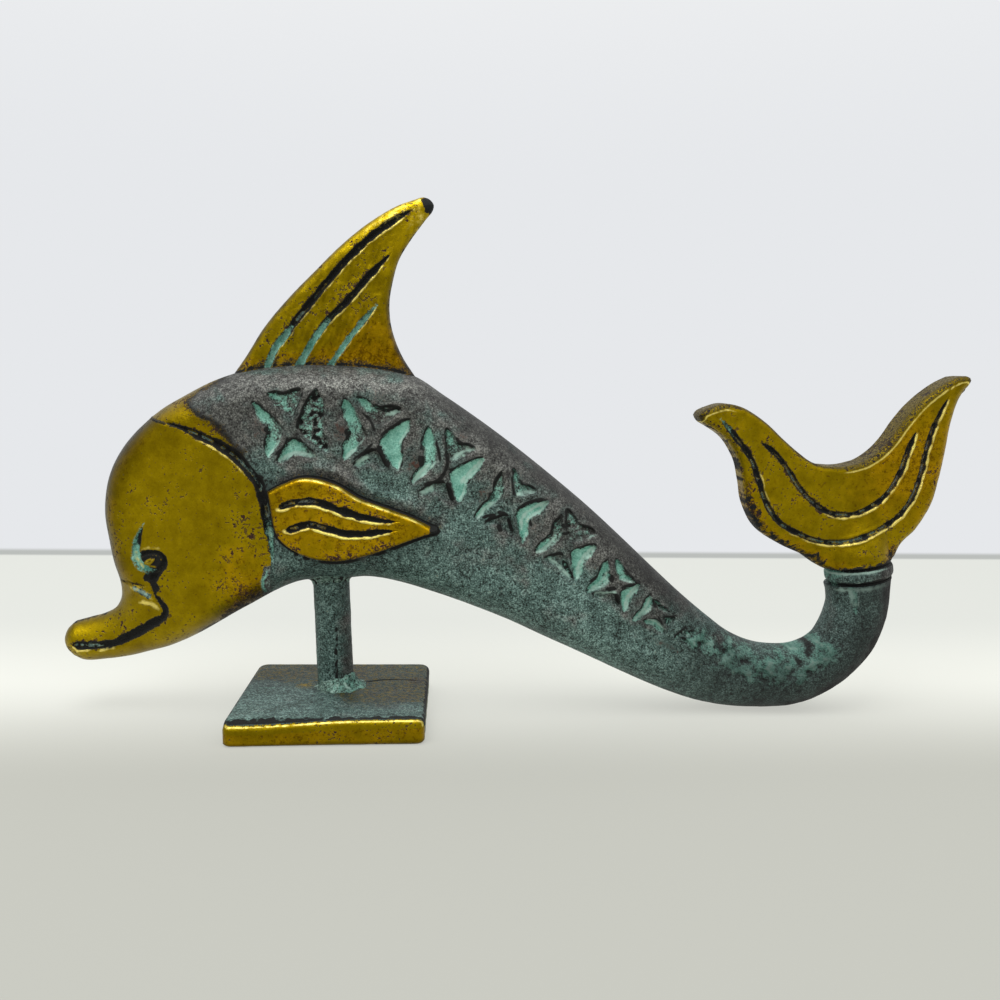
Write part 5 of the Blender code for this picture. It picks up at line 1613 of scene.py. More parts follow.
@dataclass
class Flipper:
    """A leaf-shaped pad that stands proud of the body's side."""

    ribs: list[Rib] = field(default_factory=lambda: [
        ((-11.5, -3.2), (-13.1, 4.9)), ((-10.4, -4.3), (-12.0, 5.5)), ((-8.8, -5.4), (-10.4, 6.3)),
        ((-5.8, -6.75), (-7.4, 7.35)), ((-2.9, -7.25), (-4.2, 7.15)), ((0.1, -7.15), (-1.1, 6.1)),
        ((4.2, -6.2), (2.7, 3.9)), ((9.0, -4.5), (8.2, 1.9)), ((13.0, -3.0), (12.4, 0.3)),
        ((15.2, -2.3), (15.0, -1.0)),
    ])
    front: tuple[Point, ...] = ((-11.5, -3.2), (-12.1, -1.4), (-12.5, 0.8), (-12.85, 3.2), (-13.1, 4.9))
    tip: tuple[Point, ...] = ((15.2, -2.3), (16.1, -2.0), (16.2, -1.6), (15.0, -1.0))
    thickness: float = 2.8
    edge_radius: float = 0.75
    edge_wall: float = 1.3
    sunk: float = 0.25
    stations: int = 176
    middle_rows: int = 88

    def patch(self) -> Patch:
        """The flipper's side view, from its own peg."""
        stations = spread(self.stations, (0.0, 0.05, 2.0), (0.95, 1.0, 2.0))
        return Patch.from_ribs(self.ribs, stations, start=self.front, end=self.tip)

    def ring(self) -> Array:
        """Points round the flipper's outline."""
        return self.rim(self.patch())[::3]

    @staticmethod
    def rim(patch: Patch) -> Array:
        """The whole outline as one closed row of points."""
        return np.concatenate([patch.lower, patch.end, patch.upper[::-1], patch.start[::-1]])

    def relief(self) -> Relief:
        """The flipper's carved side, heights measured from the body's side."""
        patch = self.patch()
        points = patch.grid(patch.rows(self.edge_radius, 6, np.linspace(0.0, 1.0, self.middle_rows)))
        radius = np.minimum(self.edge_radius, 0.5 * patch.width())
        beside = nearest(self.rim(patch), points)
        from_edge = beside.distance
        rise = self.thickness - self.edge_wall
        relief = Relief(points, self.edge_wall + rise * rounded(from_edge, radius))
        relief.mark(polish=1.0, groove=0.0, deposit=0.0, tone=0.59, warmth=0.75, shine=0.0)
        relief.roughen((4.0, 0.12), (1.3, 0.05))
        relief.chase(ChasedLine(
            path=((-11.0, 2.1), (-9.2, 3.0), (-6.3, 3.4), (-3.3, 3.0), (-0.5, 1.9), (3.2, 0.8),
                  (7.0, 0.1), (10.0, -0.05)),
            width=1.4, depth=0.65, start_taper=1.2, end_taper=9.0, lip=0.14,
            shine=((0.0, 1.0), (0.08, 0.7), (0.2, 1.0), (0.8, 1.0), (1.0, 0.4)), shine_side=(0.1, -1.0),
            thread=((0.0, 0.5), (0.25, 0.9), (0.35, 0.3), (1.0, 0.3))))
        relief.chase(ChasedLine(
            path=((-9.8, -1.7), (-8.1, -1.2), (-5.9, -0.65), (-3.3, -1.2), (-0.3, -2.0), (2.5, -2.3),
                  (5.8, -1.9), (9.4, -1.6)),
            width=1.35, depth=0.65, start_taper=1.0, end_taper=6.0, lip=0.14,
            shine=((0.0, 1.0), (0.1, 0.7), (0.2, 1.0), (0.8, 0.9), (1.0, 0.3)), shine_side=(0.1, -1.0),
            thread=((0.0, 0.5), (0.2, 0.95), (0.35, 0.6), (0.5, 0.1), (1.0, 0.0))))
        x, z = points[..., 0], points[..., 1]
        # Painted highlight along the top rim, broken, and two glints at the front.
        top = smoothstep(beside.facing((-0.2, -0.98)), 0.2, 0.8)
        rim = bell(from_edge, 0.28, 0.20) * top * smoothstep(x, -9.5, -6.5) * falling(x, 13.0, 15.0)
        sheen_and_wear = 0.72 + 0.5 * grain(points, 1.8, 17.0, 2)
        relief.raise_mark(SHINE, sheen_and_wear * rim)
        relief.raise_mark(SHINE, 0.9 * bell(np.hypot(x + 11.2, z - 1.9), 0.0, 0.45))
        relief.raise_mark(SHINE, 0.7 * bell(np.hypot(x + 10.1, z + 1.7), 0.0, 0.40))
        # Painted shade: the lower edge is outlined in black and darkened.
        below = 1.0 - top
        relief.raise_mark(GROOVE_AND_SHADE, ramp(0.20 - from_edge, 0.8) * below)
        relief.add_mark(TONE, -0.10 * below * falling(from_edge, 0.2, 1.4))
        relief.raise_mark(GROOVE_AND_SHADE, 0.36 * below * falling(from_edge, 0.5, 2.6))
        relief.raise_mark(GROOVE_AND_SHADE, 0.34 * relief.spot(11.5, -1.8, 2.2, 1.2))
        relief.raise_mark(GROOVE_AND_SHADE, 0.26 * relief.spot(-1.0, 2.6, 6.0, 1.6))
        relief.raise_mark(GROOVE_AND_SHADE, ramp(x - 14.9, 1.6))
        return relief

    def build(self, workshop: Workshop, side: int, name: str, node: str) -> None:
        """Models one flipper.

        Args:
            workshop: makes the piece.
            side: -1 for the camera's side of the body, 1 for the far side.
            name: the piece's name.
            node: the CAD node that it replaces.
        """
        seat = BODY_THICKNESS / 2 - self.sunk

        def place(x: float, z: float, height: float) -> tuple[float, float, float]:
            """A flipper's point on its side of the body."""
            lift = side * (seat + self.sunk + CLEARANCE + height)
            return ((x + FLIPPER_PLACE[0]) * MM, lift * MM, (z + FLIPPER_PLACE[1] + SEAT[1]) * MM)

        bm = bend_grid(self.relief(), place)
        pull_walls(bm, 1, side * seat * MM)
        bmesh.ops.contextual_create(bm, geom=[edge for edge in bm.edges if edge.is_boundary])
        workshop.add(name, bm, Slot.BRASS, node)


@dataclass
class Fluke:
    """The two-lobed tail fluke with its two chased lines and its bevelled upper edge."""

    left_ribs: list[Rib] = field(default_factory=lambda: [
        ((-25.0, 29.9), (-24.6, 33.05)), ((-22.3, 27.3), (-21.8, 33.4)),
        ((-20.4, 23.2), (-18.5, 32.3)), ((-19.9, 18.7), (-14.8, 29.2)), ((-19.7, 14.2), (-11.7, 25.4)),
        ((-17.9, 9.4), (-9.2, 22.5)), ((-14.2, 5.9), (-7.0, 20.4)), ((-10.3, 3.3), (-5.0, 19.4)),
    ])
    right_ribs: list[Rib] = field(default_factory=lambda: [
        ((7.9, 2.2), (2.4, 18.9)), ((11.1, 4.7), (5.0, 20.0)), ((14.3, 8.6), (7.6, 21.9)),
        ((16.5, 13.7), (10.7, 25.2)), ((18.2, 18.7), (13.9, 28.0)), ((19.7, 23.7), (17.2, 30.0)),
        ((21.5, 27.5), (20.0, 31.2)), ((22.6, 28.9), (21.6, 31.65)),
    ])
    left_tip: tuple[Point, ...] = (
        (-25.0, 29.9), (-26.2, 30.9), (-26.5, 31.7), (-26.0, 32.5), (-24.6, 33.05))
    right_tip: tuple[Point, ...] = ((22.6, 28.9), (23.6, 29.8), (24.1, 30.7), (23.4, 31.4), (21.6, 31.65))
    thickness: float = 7.0
    edge_radius: float = 2.0
    edge_wall: float = 3.0
    upper_radius: float = 1.2
    upper_wall: float = 4.4
    root_width: float = 12.6
    root_blend: float = 9.0
    notch_margin: float = 0.12
    notch_dip: float = 0.5
    stations: int = 330
    middle_rows: int = 74

    def root(self) -> Array:
        """The middle of the fluke's root, on the collar."""
        return STEM_END + COLLAR_AXIS * (COLLAR_HEIGHT + 2 * CLEARANCE)

    def local_ribs(self) -> list[Rib]:
        """All ribs in the fluke's own frame, left tip to right tip."""
        left_top, right_top = np.array(self.left_ribs[-1][1]), np.array(self.right_ribs[0][1])
        middle = []
        for share in np.linspace(0.0, 1.0, 5):
            place = self.notch_margin + (1.0 - 2.0 * self.notch_margin) * share
            top = left_top + (right_top - left_top) * place
            top[1] -= self.notch_dip * math.sin(math.pi * place)
            middle.append(((self.root_width / 2 * (2 * share - 1), 0.0), tuple(top)))
        return self.left_ribs + middle + self.right_ribs

    def heights(self, patch: Patch, points: Array) -> tuple[Array, Array, Beside]:
        """The height over the fluke's own points, and where these lie beside its two edges."""
        half, plate, wall = self.root_width / 2, self.thickness / 2, self.edge_wall / 2
        side, up = points[..., 0], points[..., 1]
        root = np.sqrt(np.maximum(half * half - side * side, 0.0))
        full = plate + np.maximum(root - plate, 0.0) * falling(up, 0.0, self.root_blend)
        width = patch.width()
        on_root = falling(up, 0.0, self.edge_radius)
        low_wall = np.minimum(wall + np.maximum(root - wall, 0.0) * on_root, full)
        tip = len(patch.start) // 2
        lower = np.concatenate([patch.start[tip::-1], patch.lower, patch.end[:tip + 1]])
        upper = np.concatenate([patch.start[tip:], patch.upper, patch.end[:tip - 1:-1]])
        from_low = nearest(lower, points).distance
        above = nearest(upper, points)
        low = low_wall + (full - low_wall) * rounded(from_low, np.minimum(self.edge_radius, 0.5 * width))
        high_wall = self.upper_wall / 2
        rim = rounded(above.distance, np.minimum(self.upper_radius, 0.5 * width))
        return np.minimum(low, high_wall + (full - high_wall) * rim), from_low, above

    def lines(self) -> list[ChasedLine]:
        """The outer and the inner chased line."""
        return [
            ChasedLine(
                path=((-22.9, 30.9), (-20.8, 27.6), (-18.3, 23.0), (-17.4, 19.0), (-16.5, 14.6),
                      (-14.7, 10.7), (-11.1, 7.7), (-6.5, 5.4), (-1.85, 5.1), (2.7, 5.9), (7.5, 7.9),
                      (10.4, 11.0), (12.6, 15.35), (14.1, 19.75), (15.9, 23.7), (19.3, 28.8)),
                width=1.05, depth=0.55, start_taper=4.0, end_taper=7.0, lip=0.12,
                deposit=((0.0, 0.7), (0.05, 0.3), (0.1, 0.1), (1.0, 0.0)),
                shine=((0.0, 0.8), (0.15, 0.5), (0.4, 0.75), (0.6, 0.9), (1.0, 0.8)),
                shine_side=(0.6, -0.8),
                thread=((0.0, 0.3), (0.15, 0.8), (0.85, 0.8), (1.0, 0.2))),
            ChasedLine(
                path=((-16.4, 25.8), (-13.95, 23.4), (-11.9, 20.0), (-10.15, 16.2), (-7.7, 12.9),
                      (-5.85, 11.2), (-2.1, 9.8), (2.0, 10.3), (5.9, 12.5), (8.7, 16.0), (10.5, 19.6),
                      (12.6, 23.3)),
                width=1.05, depth=0.55, start_taper=4.0, end_taper=4.0, lip=0.12,
                deposit=((0.0, 0.0), (0.5, 0.15), (1.0, 0.0)),
                shine=((0.0, 0.5), (0.4, 0.7), (0.6, 0.9), (1.0, 0.8)), shine_side=(0.6, -0.8),
                thread=((0.0, 0.2), (0.2, 0.8), (0.85, 0.8), (1.0, 0.2))),
        ]

    def build(self, workshop: Workshop) -> None:
        """Models, carves and dresses the fluke."""
        patch = Patch.from_ribs(
            self.local_ribs(), spread(self.stations, (0.0, 0.04, 2.0), (0.96, 1.0, 2.0)),
            start=self.left_tip, end=self.right_tip)
        points = patch.grid(patch.rows(self.edge_radius, 8, np.linspace(0.0, 1.0, self.middle_rows)))
        height, from_low, above = self.heights(patch, points)
        relief = Relief(points, height)
        relief.mark(polish=1.0, groove=0.0, deposit=0.0, tone=0.50, warmth=0.42, shine=0.0)
        relief.roughen((5.0, 0.10), (1.5, 0.05))
        for line in self.lines():
            relief.chase(line)
        self.tan(relief, from_low, above)
        frame_points = points[..., :1] * COLLAR_ACROSS + points[..., 1:] * COLLAR_AXIS + self.root()
        relief.points = frame_points
        workshop.add("fluke_casting", two_sided(relief), Slot.BRASS, "tail_fluke")

    def tan(self, relief: Relief, from_low: Array, above: Beside) -> None:
        """The dark rim with a painted highlight along it, and the dark root."""
        side, up = relief.axes()
        from_high = above.distance
        right = smoothstep(side, -4.0, 1.0)
        far_left = falling(side, -22.0, -18.0)
        lobes = np.maximum(right, far_left)
        rim = falling(from_high, 0.30 + 0.52 * lobes, 0.75 + 0.30 * lobes)
        relief.tint(rim, tone=-0.23, groove=0.47, warmth=-0.35)
        # Painted highlight along the edge of the front face.
        relief.raise_mark(SHINE, 0.85 * bell(from_high, 1.12, 0.18) * lobes)
        relief.add_mark(TONE, -0.10 * falling(from_low, 0.1, 1.0))
        relief.tarnish_edge(from_low, 0.5)
        relief.add_mark(WARMTH, 0.6 * relief.spot(11.0, 18.0, 8.0, 9.0))
        relief.add_mark(TONE, 0.07 * relief.spot(12.0, 22.0, 6.0, 8.0))
        ragged = grain(relief.points, 1.4, 4.0)
        lower_left = smoothstep(-side, -1.0, 8.0) * falling(from_low + 1.4 * ragged, 0.7, 2.7)
        corner = 1.3 * relief.spot(6.0, 0.9, 1.8, 1.8)
        root = falling(up + 0.7 * ragged, 0.0, 0.8)
        grime_and_shade = np.maximum(lower_left * falling(up, 14.0, 22.0), corner)
        speckled = 0.52 + 0.30 * grain(relief.points, 0.9, 6.0)
        relief.raise_mark(GROOVE_AND_SHADE, speckled * smoothstep(grime_and_shade, 0.2, 1.0))
        relief.add_mark(WARMTH, 0.4 * grime_and_shade)
        relief.add_mark(TONE, -0.10 * relief.spot(0.0, 2.6, 4.0, 2.2))
        relief.tint(root, groove=0.60, tone=-0.10)


@dataclass
class Collar:
    """The rounded ring between the tail's stem and the fluke, with a groove on each side."""

    radius: float = 6.25
    edge_radius: float = 1.1
    neck_radius: float = 5.75
    neck_bevel: float = 0.6
    neck_straight: float = 0.4
    below: float = 0.5
    above: float = 0.8
    shift: float = 0.45
    unevenness: float = 0.012
    steps: int = 144

    def build(self, workshop: Workshop) -> None:
        """Models and dresses the collar."""
        low, high = CLEARANCE, CLEARANCE + COLLAR_HEIGHT
        turns = np.linspace(0.0, QUARTER_TURN, 9)
        rise = []
        for turn in turns:
            radius = self.radius - self.edge_radius * (1 - math.sin(turn))
            rise.append((radius, low + self.edge_radius * (1 - math.cos(turn))))
        fall = [(radius, low + high - height) for radius, height in reversed(rise)]
        neck, core = self.neck_radius, self.neck_radius - self.neck_bevel
        foot, head = -self.below, high + self.above
        profile = [(0.0, foot), (core, foot), (neck, foot + self.neck_straight), (neck, low)] + rise + fall
        profile += [(neck, high), (neck, head - self.neck_straight), (core, head), (0.0, head)]
        bm = turned(profile, self.steps)
        for vert in bm.verts:
            place = vert.co / MM
            lumps = noise.fractal(place / 3.0, 1.0, 2.0, 3)
            vert.co.xy *= 1.0 + self.unevenness * (lumps - 0.6) * (place.xy.length > neck + 0.1)
        # Painted highlight on the upper rounded edge, fading towards the right, and a faint one on the
        # lower edge; painted shade darkens the band towards the right, and it is darker across its middle.
        mark_verts(bm, {
            POLISH: lambda p: 0.0,
            GROOVE_AND_SHADE: lambda p: falling(p.xy.length, neck + 0.15, neck + 0.5),
            DEPOSIT: lambda p: 0.25 * bell(p.z, high - 0.5, 0.5) + 0.40 * falling(p.x, -5.6, -3.5),
            SHINE: lambda p: smoothstep(p.xy.length, neck + 0.1, neck + 0.35)
            * (0.95 * bell(p.z, high - 0.55, 0.34) * (1.0 - 0.8 * smoothstep(p.x, 1.0, 4.5))
               + 0.40 * bell(p.z, low + 0.45, 0.25)),
            TONE: lambda p: 0.38 - 0.10 * bell(p.z, low + 1.3, 0.6) - 0.10 * smoothstep(p.x, 1.0, 5.0),
            WARMTH: lambda p: 0.1 + 0.6 * smoothstep(p.x, -2.0, 4.0),
        })
        turn = Matrix.Rotation(-COLLAR_TILT, 4, "Y")
        place = Matrix.Translation(Vector(in_side_view(*(STEM_END + self.shift * COLLAR_ACROSS), 0.0)))
        bmesh.ops.transform(bm, matrix=place @ turn, verts=bm.verts)
        workshop.add("collar_band", bm, Slot.PATINA, "tail_collar")


# How far the post's axis stands to the right of x = 0 at the plate and at the belly
POST_AT_PLATE = 0.25
POST_AT_BELLY = -0.45


def lean_of_post(height: float) -> float:
    """How far the post's axis stands to the right of x = 0 at a height above the floor."""
    share = (height - PLATE_HIGH.z) / (SEAT[1] - PLATE_HIGH.z)
    return POST_AT_PLATE + (POST_AT_BELLY - POST_AT_PLATE) * share


@dataclass
class Post:
    """The round rod between the plate and the belly."""

    into_plate: float = 0.6
    into_belly: float = 1.6
    unevenness: float = 0.018
    rings: int = 110
    steps: int = 112

    def build(self, workshop: Workshop) -> None:
        """Models and dresses the post."""
        low, high = PLATE_HIGH.z - self.into_plate, SEAT[1] + self.into_belly
        side = [(POST_RADIUS, z) for z in np.linspace(low, high, self.rings)]
        bm = turned([(0.0, low)] + side + [(0.0, high)], self.steps)
        for vert in bm.verts:
            place = vert.co / MM
            lumps = noise.fractal(place / 4.0, 1.0, 2.0, 2) + 0.5 * noise.fractal(place / 1.1, 1.0, 2.0, 3)
            vert.co.xy *= 1.0 + self.unevenness * (lumps - 0.75)
            vert.co.x += lean_of_post(place.z) * MM
        mark_verts(bm, {
            POLISH: lambda p: 0.0,
            GROOVE_AND_SHADE: self.scar,
            DEPOSIT: lambda p: 0.30 * falling(p.z, PLATE_HIGH.z + 1.0, PLATE_HIGH.z + 4.0),
            TONE: lambda p: 0.46 - 0.17 * smoothstep(p.x, -0.5, 3.0) - 0.08 * smoothstep(-p.x, 2.7, 3.3),
            SHINE: lambda p: 0.0,
            WARMTH: lambda p: 0.8 * smoothstep(p.x, -1.8, 3.0) * falling(p.z, 16.0, 23.0) - 0.15,
        })
        workshop.add("post_rod", bm, Slot.PATINA, "support_post")

    @staticmethod
    def scar(place: Vector) -> float:
        """The black pitted line that runs down the front of the post."""
        beside = abs(place.x - 0.75 - 0.25 * noise.noise(Vector((0.0, 3.0, place.z / 2.0))))
        stretch = falling(place.z, 14.0, 20.0)
        broken = 0.65 + 0.9 * noise.noise(Vector((place.x, 0.0, place.z)) / 0.9)
        return float(falling(beside, 0.12, 0.5) * stretch * broken) * (place.y < 0.0)


@dataclass
class Plate:
    """The square plate, burnished along its front edge."""

    corner_radius: float = 2.2
    front_corner_radius: float = 1.3
    edge_radius: float = 1.1
    front_slant: float = 1.1
    front_wear: float = 0.8
    stations: int = 190
    middle_rows: int = 170
    wall_levels: tuple[float, ...] = (2.9, 2.4, 1.9, 1.4, 0.9, 0.4, 0.0)
    uneven_levels: tuple[float, ...] = (1.9, 0.0)
    wall_unevenness: float = 0.08
    foot_bevel: float = 0.35
    front_reach: float = 1.5

    def edges(self) -> list[Array]:
        """The front, back, left and right edges, each with half of the corners at its ends."""
        low, high = np.array(PLATE_LOW.xy), np.array(PLATE_HIGH.xy)
        corners = {}
        for name, (sx, sy), first in (
            ("front_left", (0, 0), math.pi), ("front_right", (1, 0), 1.5 * math.pi),
            ("back_right", (1, 1), 0.0), ("back_left", (0, 1), 0.5 * math.pi),
        ):
            corner = np.array([low[0] if sx == 0 else high[0], low[1] if sy == 0 else high[1]])
            inward = np.array([1 if sx == 0 else -1, 1 if sy == 0 else -1])
            radius = self.corner_radius if sy else self.front_corner_radius
            centre = corner + inward * radius
            turn = first + np.linspace(0.0, QUARTER_TURN, 17)
            corners[name] = centre + radius * np.stack([np.cos(turn), np.sin(turn)], axis=1)
        half = 8
        front = np.concatenate([corners["front_left"][half:], corners["front_right"][: half + 1]])
        right = np.concatenate([corners["front_right"][half:], corners["back_right"][: half + 1]])
        back = np.concatenate([corners["back_right"][half:], corners["back_left"][: half + 1]])[::-1]
        left = np.concatenate([corners["back_left"][half:], corners["front_left"][: half + 1]])[::-1]
        for edge in (front, back, left, right):
            depth = (edge[:, 1] - low[1]) / (high[1] - low[1])
            edge[:, 1] += (self.front_line(edge[:, 0]) - low[1]) * (1.0 - depth)
        return [front, back, left, right]

    def front_line(self, x: Array | float) -> Array | float:
        """Where the front edge is, in y: it runs back a little to the right."""
        return PLATE_LOW.y + self.front_slant * (x - PLATE_LOW.x) / (PLATE_HIGH.x - PLATE_LOW.x)

    def relief(self) -> Relief:
        """The plate's top, as a relief over (x, y)."""
        front, back, left, right = self.edges()
        stations = np.linspace(0.0, 1.0, self.stations)
        patch = Patch(along(front, stations), along(back, stations), left, right, stations)
        points = patch.grid(patch.rows(self.edge_radius, 5, np.linspace(0.0, 1.0, self.middle_rows)))
        outline = np.concatenate([front, right, back[::-1], left[::-1]])
        from_edge = nearest(outline, points).distance
        top = PLATE_HIGH.z
        height = top - self.edge_radius * (1.0 - rounded(from_edge, self.edge_radius))
        relief = Relief(points, height)
        relief.mark(polish=0.0, groove=0.0, deposit=0.0, tone=0.42, warmth=0.45, shine=0.0)
        from_front = points[..., 1] - self.front_line(points[..., 0])
        sheen_and_wear = smoothstep(-points[..., 0], -6.0, 13.0) * falling(from_front, 0.2, 2.6)
        relief.height -= self.front_wear * sheen_and_wear
        uneven = 0.06 * grain(points, 6.0, 1.0) + 0.04 * grain(points, 1.3, 2.0)
        relief.height += np.minimum(uneven - 0.05, 0.0) * smoothstep(from_edge, 0.2, 1.5)
        self.paint(relief, from_edge)
        return relief

    def paint(self, relief: Relief, from_edge: Array) -> None:
        """The painted highlight on the front rim, the black band behind it, and the stains round the foot.
        """
        x, y = relief.axes()
        corner = y < PLATE_LOW.y + self.front_corner_radius
        from_front = np.where(corner, from_edge, y - self.front_line(x))
        ragged = 0.9 * grain(relief.points, 1.3, 8.0)
        left = falling(x, -6.0, 6.0)
        relief.raise_mark(POLISH, falling(from_front, 0.50, 0.85))
        # Painted highlight along the front rim.
        relief.raise_mark(SHINE, 0.70 * bell(from_front, 0.42, 0.18) * (1.0 + 0.6 * ragged))
        band = smoothstep(from_front, 0.60, 0.85) * falling(from_front + 1.2 * ragged, 1.1, 3.2)
        relief.raise_mark(GROOVE_AND_SHADE, 0.80 * band)
        speckled = smoothstep(from_front, 0.8, 1.6) * falling(from_front, 3.0, 10.0) * left
        relief.tint(speckled, groove=0.33, tone=0.07)
        relief.raise_mark(GROOVE_AND_SHADE, 0.62 * falling(from_edge + 0.5 * ragged, 0.2, 0.9) * (from_front > 1.0))
        olive = smoothstep(y + 2.0 * grain(relief.points, 5.0, 3.0) + 13.0 * (1.0 - left), -3.0, 5.0)
        relief.raise_mark(POLISH, 0.40 * olive)
        relief.add_mark(WARMTH, 0.15 * olive - 0.45)
        relief.add_mark(TONE, -0.15 * olive)
        stain = relief.spot(-5.4, -0.6, 2.4, 2.0)
        relief.tint(stain, polish=0.60, tone=0.06)
        streak = relief.spot(-12.0, -2.2, 2.4, 0.5)
        relief.tint(streak, deposit=0.60, shine=0.45)
        relief.chase(ChasedLine(
            path=((4.6, 0.4), (8.0, 2.4), (12.0, 2.6), (16.0, 2.0)), width=0.5, depth=0.10, lip=0.0,
            start_taper=1.0, end_taper=3.0, black=1.0, shine=((0.0, 0.0), (1.0, 0.0)),
        ))

    def build(self, workshop: Workshop) -> None:
        """Models and dresses the plate."""
        bm = bend_grid(self.relief(), lambda x, y, z: (x * MM, y * MM, z * MM))
        self.drop_walls(bm)
        bmesh.ops.contextual_create(bm, geom=[edge for edge in bm.edges if edge.is_boundary])
        workshop.add("plate_slab", bm, Slot.PATINA, "base_plate")

    def drop_walls(self, bm: Mesh) -> None:
        """Extrudes the rim down in steps and burnishes the front wall."""
        polish, groove = bm.verts.layers.float[POLISH], bm.verts.layers.float[GROOVE_AND_SHADE]
        tone, shine = bm.verts.layers.float[TONE], bm.verts.layers.float[SHINE]
        warmth = bm.verts.layers.float[WARMTH]
        centre = (PLATE_LOW + PLATE_HIGH) / 2
        for above, level in zip(self.wall_levels, self.wall_levels[1:]):
            rim = [edge for edge in bm.edges if edge.is_boundary]
            walls = bmesh.ops.extrude_edge_only(bm, edges=rim)
            for vert in walls["geom"]:
                if not isinstance(vert, bmesh.types.BMVert):
                    continue
                place = vert.co / MM
                pull = self.wall_unevenness * (0.5 + noise.noise(place / 2.5))
                pull += self.foot_bevel if level == 0.0 else 0.0
                inward = Vector((centre.x - place.x, centre.y - place.y)).normalized()
                if level in self.uneven_levels:
                    vert.co.xy = (place.xy + inward * max(pull, 0.0)) * MM
                vert.co.z *= level / above
                front = place.y < self.front_line(place.x) + self.front_reach
                vert[polish] = 1.0 if front else 0.35
                vert[groove] = 0.0 if front else 0.25
                vert[tone] = (0.40 if level > 0.4 else 0.25) if front else 0.44
                vert[warmth] = 0.65 if front else 0.1
                vert[shine] = 0.0
        bmesh.ops.remove_doubles(bm, verts=bm.verts, dist=FINE_WELD)


@dataclass
class Braze:
    """A lumpy bead of braze round one end of the post."""

    name: str
    node: str
    profile: list[Point]
    lump_turn: float
    lumps: float
    deposit: float
    lean: float
    steps: int = 150

    def build(self, workshop: Workshop, base: Callable[[float, float], float]) -> None:
        """Models and dresses the bead.

        Args:
            workshop: makes the piece.
            base: height of the surface that the bead lies on, at (x, y).
        """
        bm = spun(self.profile, self.steps, closed=True)
        inner = self.profile[0][0]
        aside = Vector((3.0, 0.0, 0.0))
        for vert in bm.verts:
            place = vert.co / MM
            angle = math.atan2(place.y, place.x)
            reach = place.xy.length - inner
            lump = 1.0 + self.lumps * math.cos(angle - self.lump_turn)
            around = Vector((math.cos(angle), math.sin(angle), place.z / 3)) * 2.5
            lump += 0.6 * self.lumps * noise.fractal(around, 1.0, 2.0, 3)
            stretch = (inner + reach * lump) / max(place.xy.length, 1e-6)
            x, y = place.x * stretch + self.lean, place.y * stretch
            vert.co = Vector((x, y, base(x, y) + place.z * lump)) * MM
        mark_verts(bm, {
            POLISH: lambda p: 0.0,
            GROOVE_AND_SHADE: lambda p: 0.8 * smoothstep(noise.noise(p / 0.9), 0.05, 0.35),
            DEPOSIT: lambda p: self.deposit * 0.35 * (
                1.0 + math.cos(math.atan2(p.y, p.x) - self.lump_turn)),
            SHINE: lambda p: self.deposit * smoothstep(noise.noise(p / 0.8 + aside), 0.05, 0.40),
            TONE: lambda p: 0.44,
            WARMTH: lambda p: 0.1,
        })
        workshop.add(self.name, bm, Slot.BRAZE, self.node)


def foot_braze() -> Braze:
    """The bead where the post meets the plate, fullest at the right and front."""
    inner, width, height, sunk = POST_RADIUS - 0.5, 1.30, 1.45, 0.3
    turn = np.linspace(0.0, QUARTER_TURN, 9)
    curve = [(POST_RADIUS + width * (1 - math.sin(t)), height * (1 - math.cos(t)) ** 0.9) for t in turn]
    profile = [(inner, -sunk), (POST_RADIUS + width, -sunk)] + curve + [(inner, height)]
    return Braze(
        "foot_braze_bead", "foot_braze", profile,
        lump_turn=-0.6, lumps=0.60, deposit=0.68, lean=lean_of_post(PLATE_HIGH.z))


def belly_braze() -> Braze:
    """The small fillet where the post enters the belly."""
    inner, width, height, sunk = POST_RADIUS - 0.4, 1.1, 1.1, 0.4
    turn = np.linspace(0.0, QUARTER_TURN, 7)
    curve = [(POST_RADIUS + width * (1 - math.sin(t)), -height * (1 - math.cos(t))) for t in turn]
    profile = [(inner, sunk), (POST_RADIUS + width, sunk)] + curve + [(inner, -height)]
    return Braze(
        "belly_braze_bead", "belly_braze", profile,
        lump_turn=2.4, lumps=0.10, deposit=0.15, lean=lean_of_post(SEAT[1]))


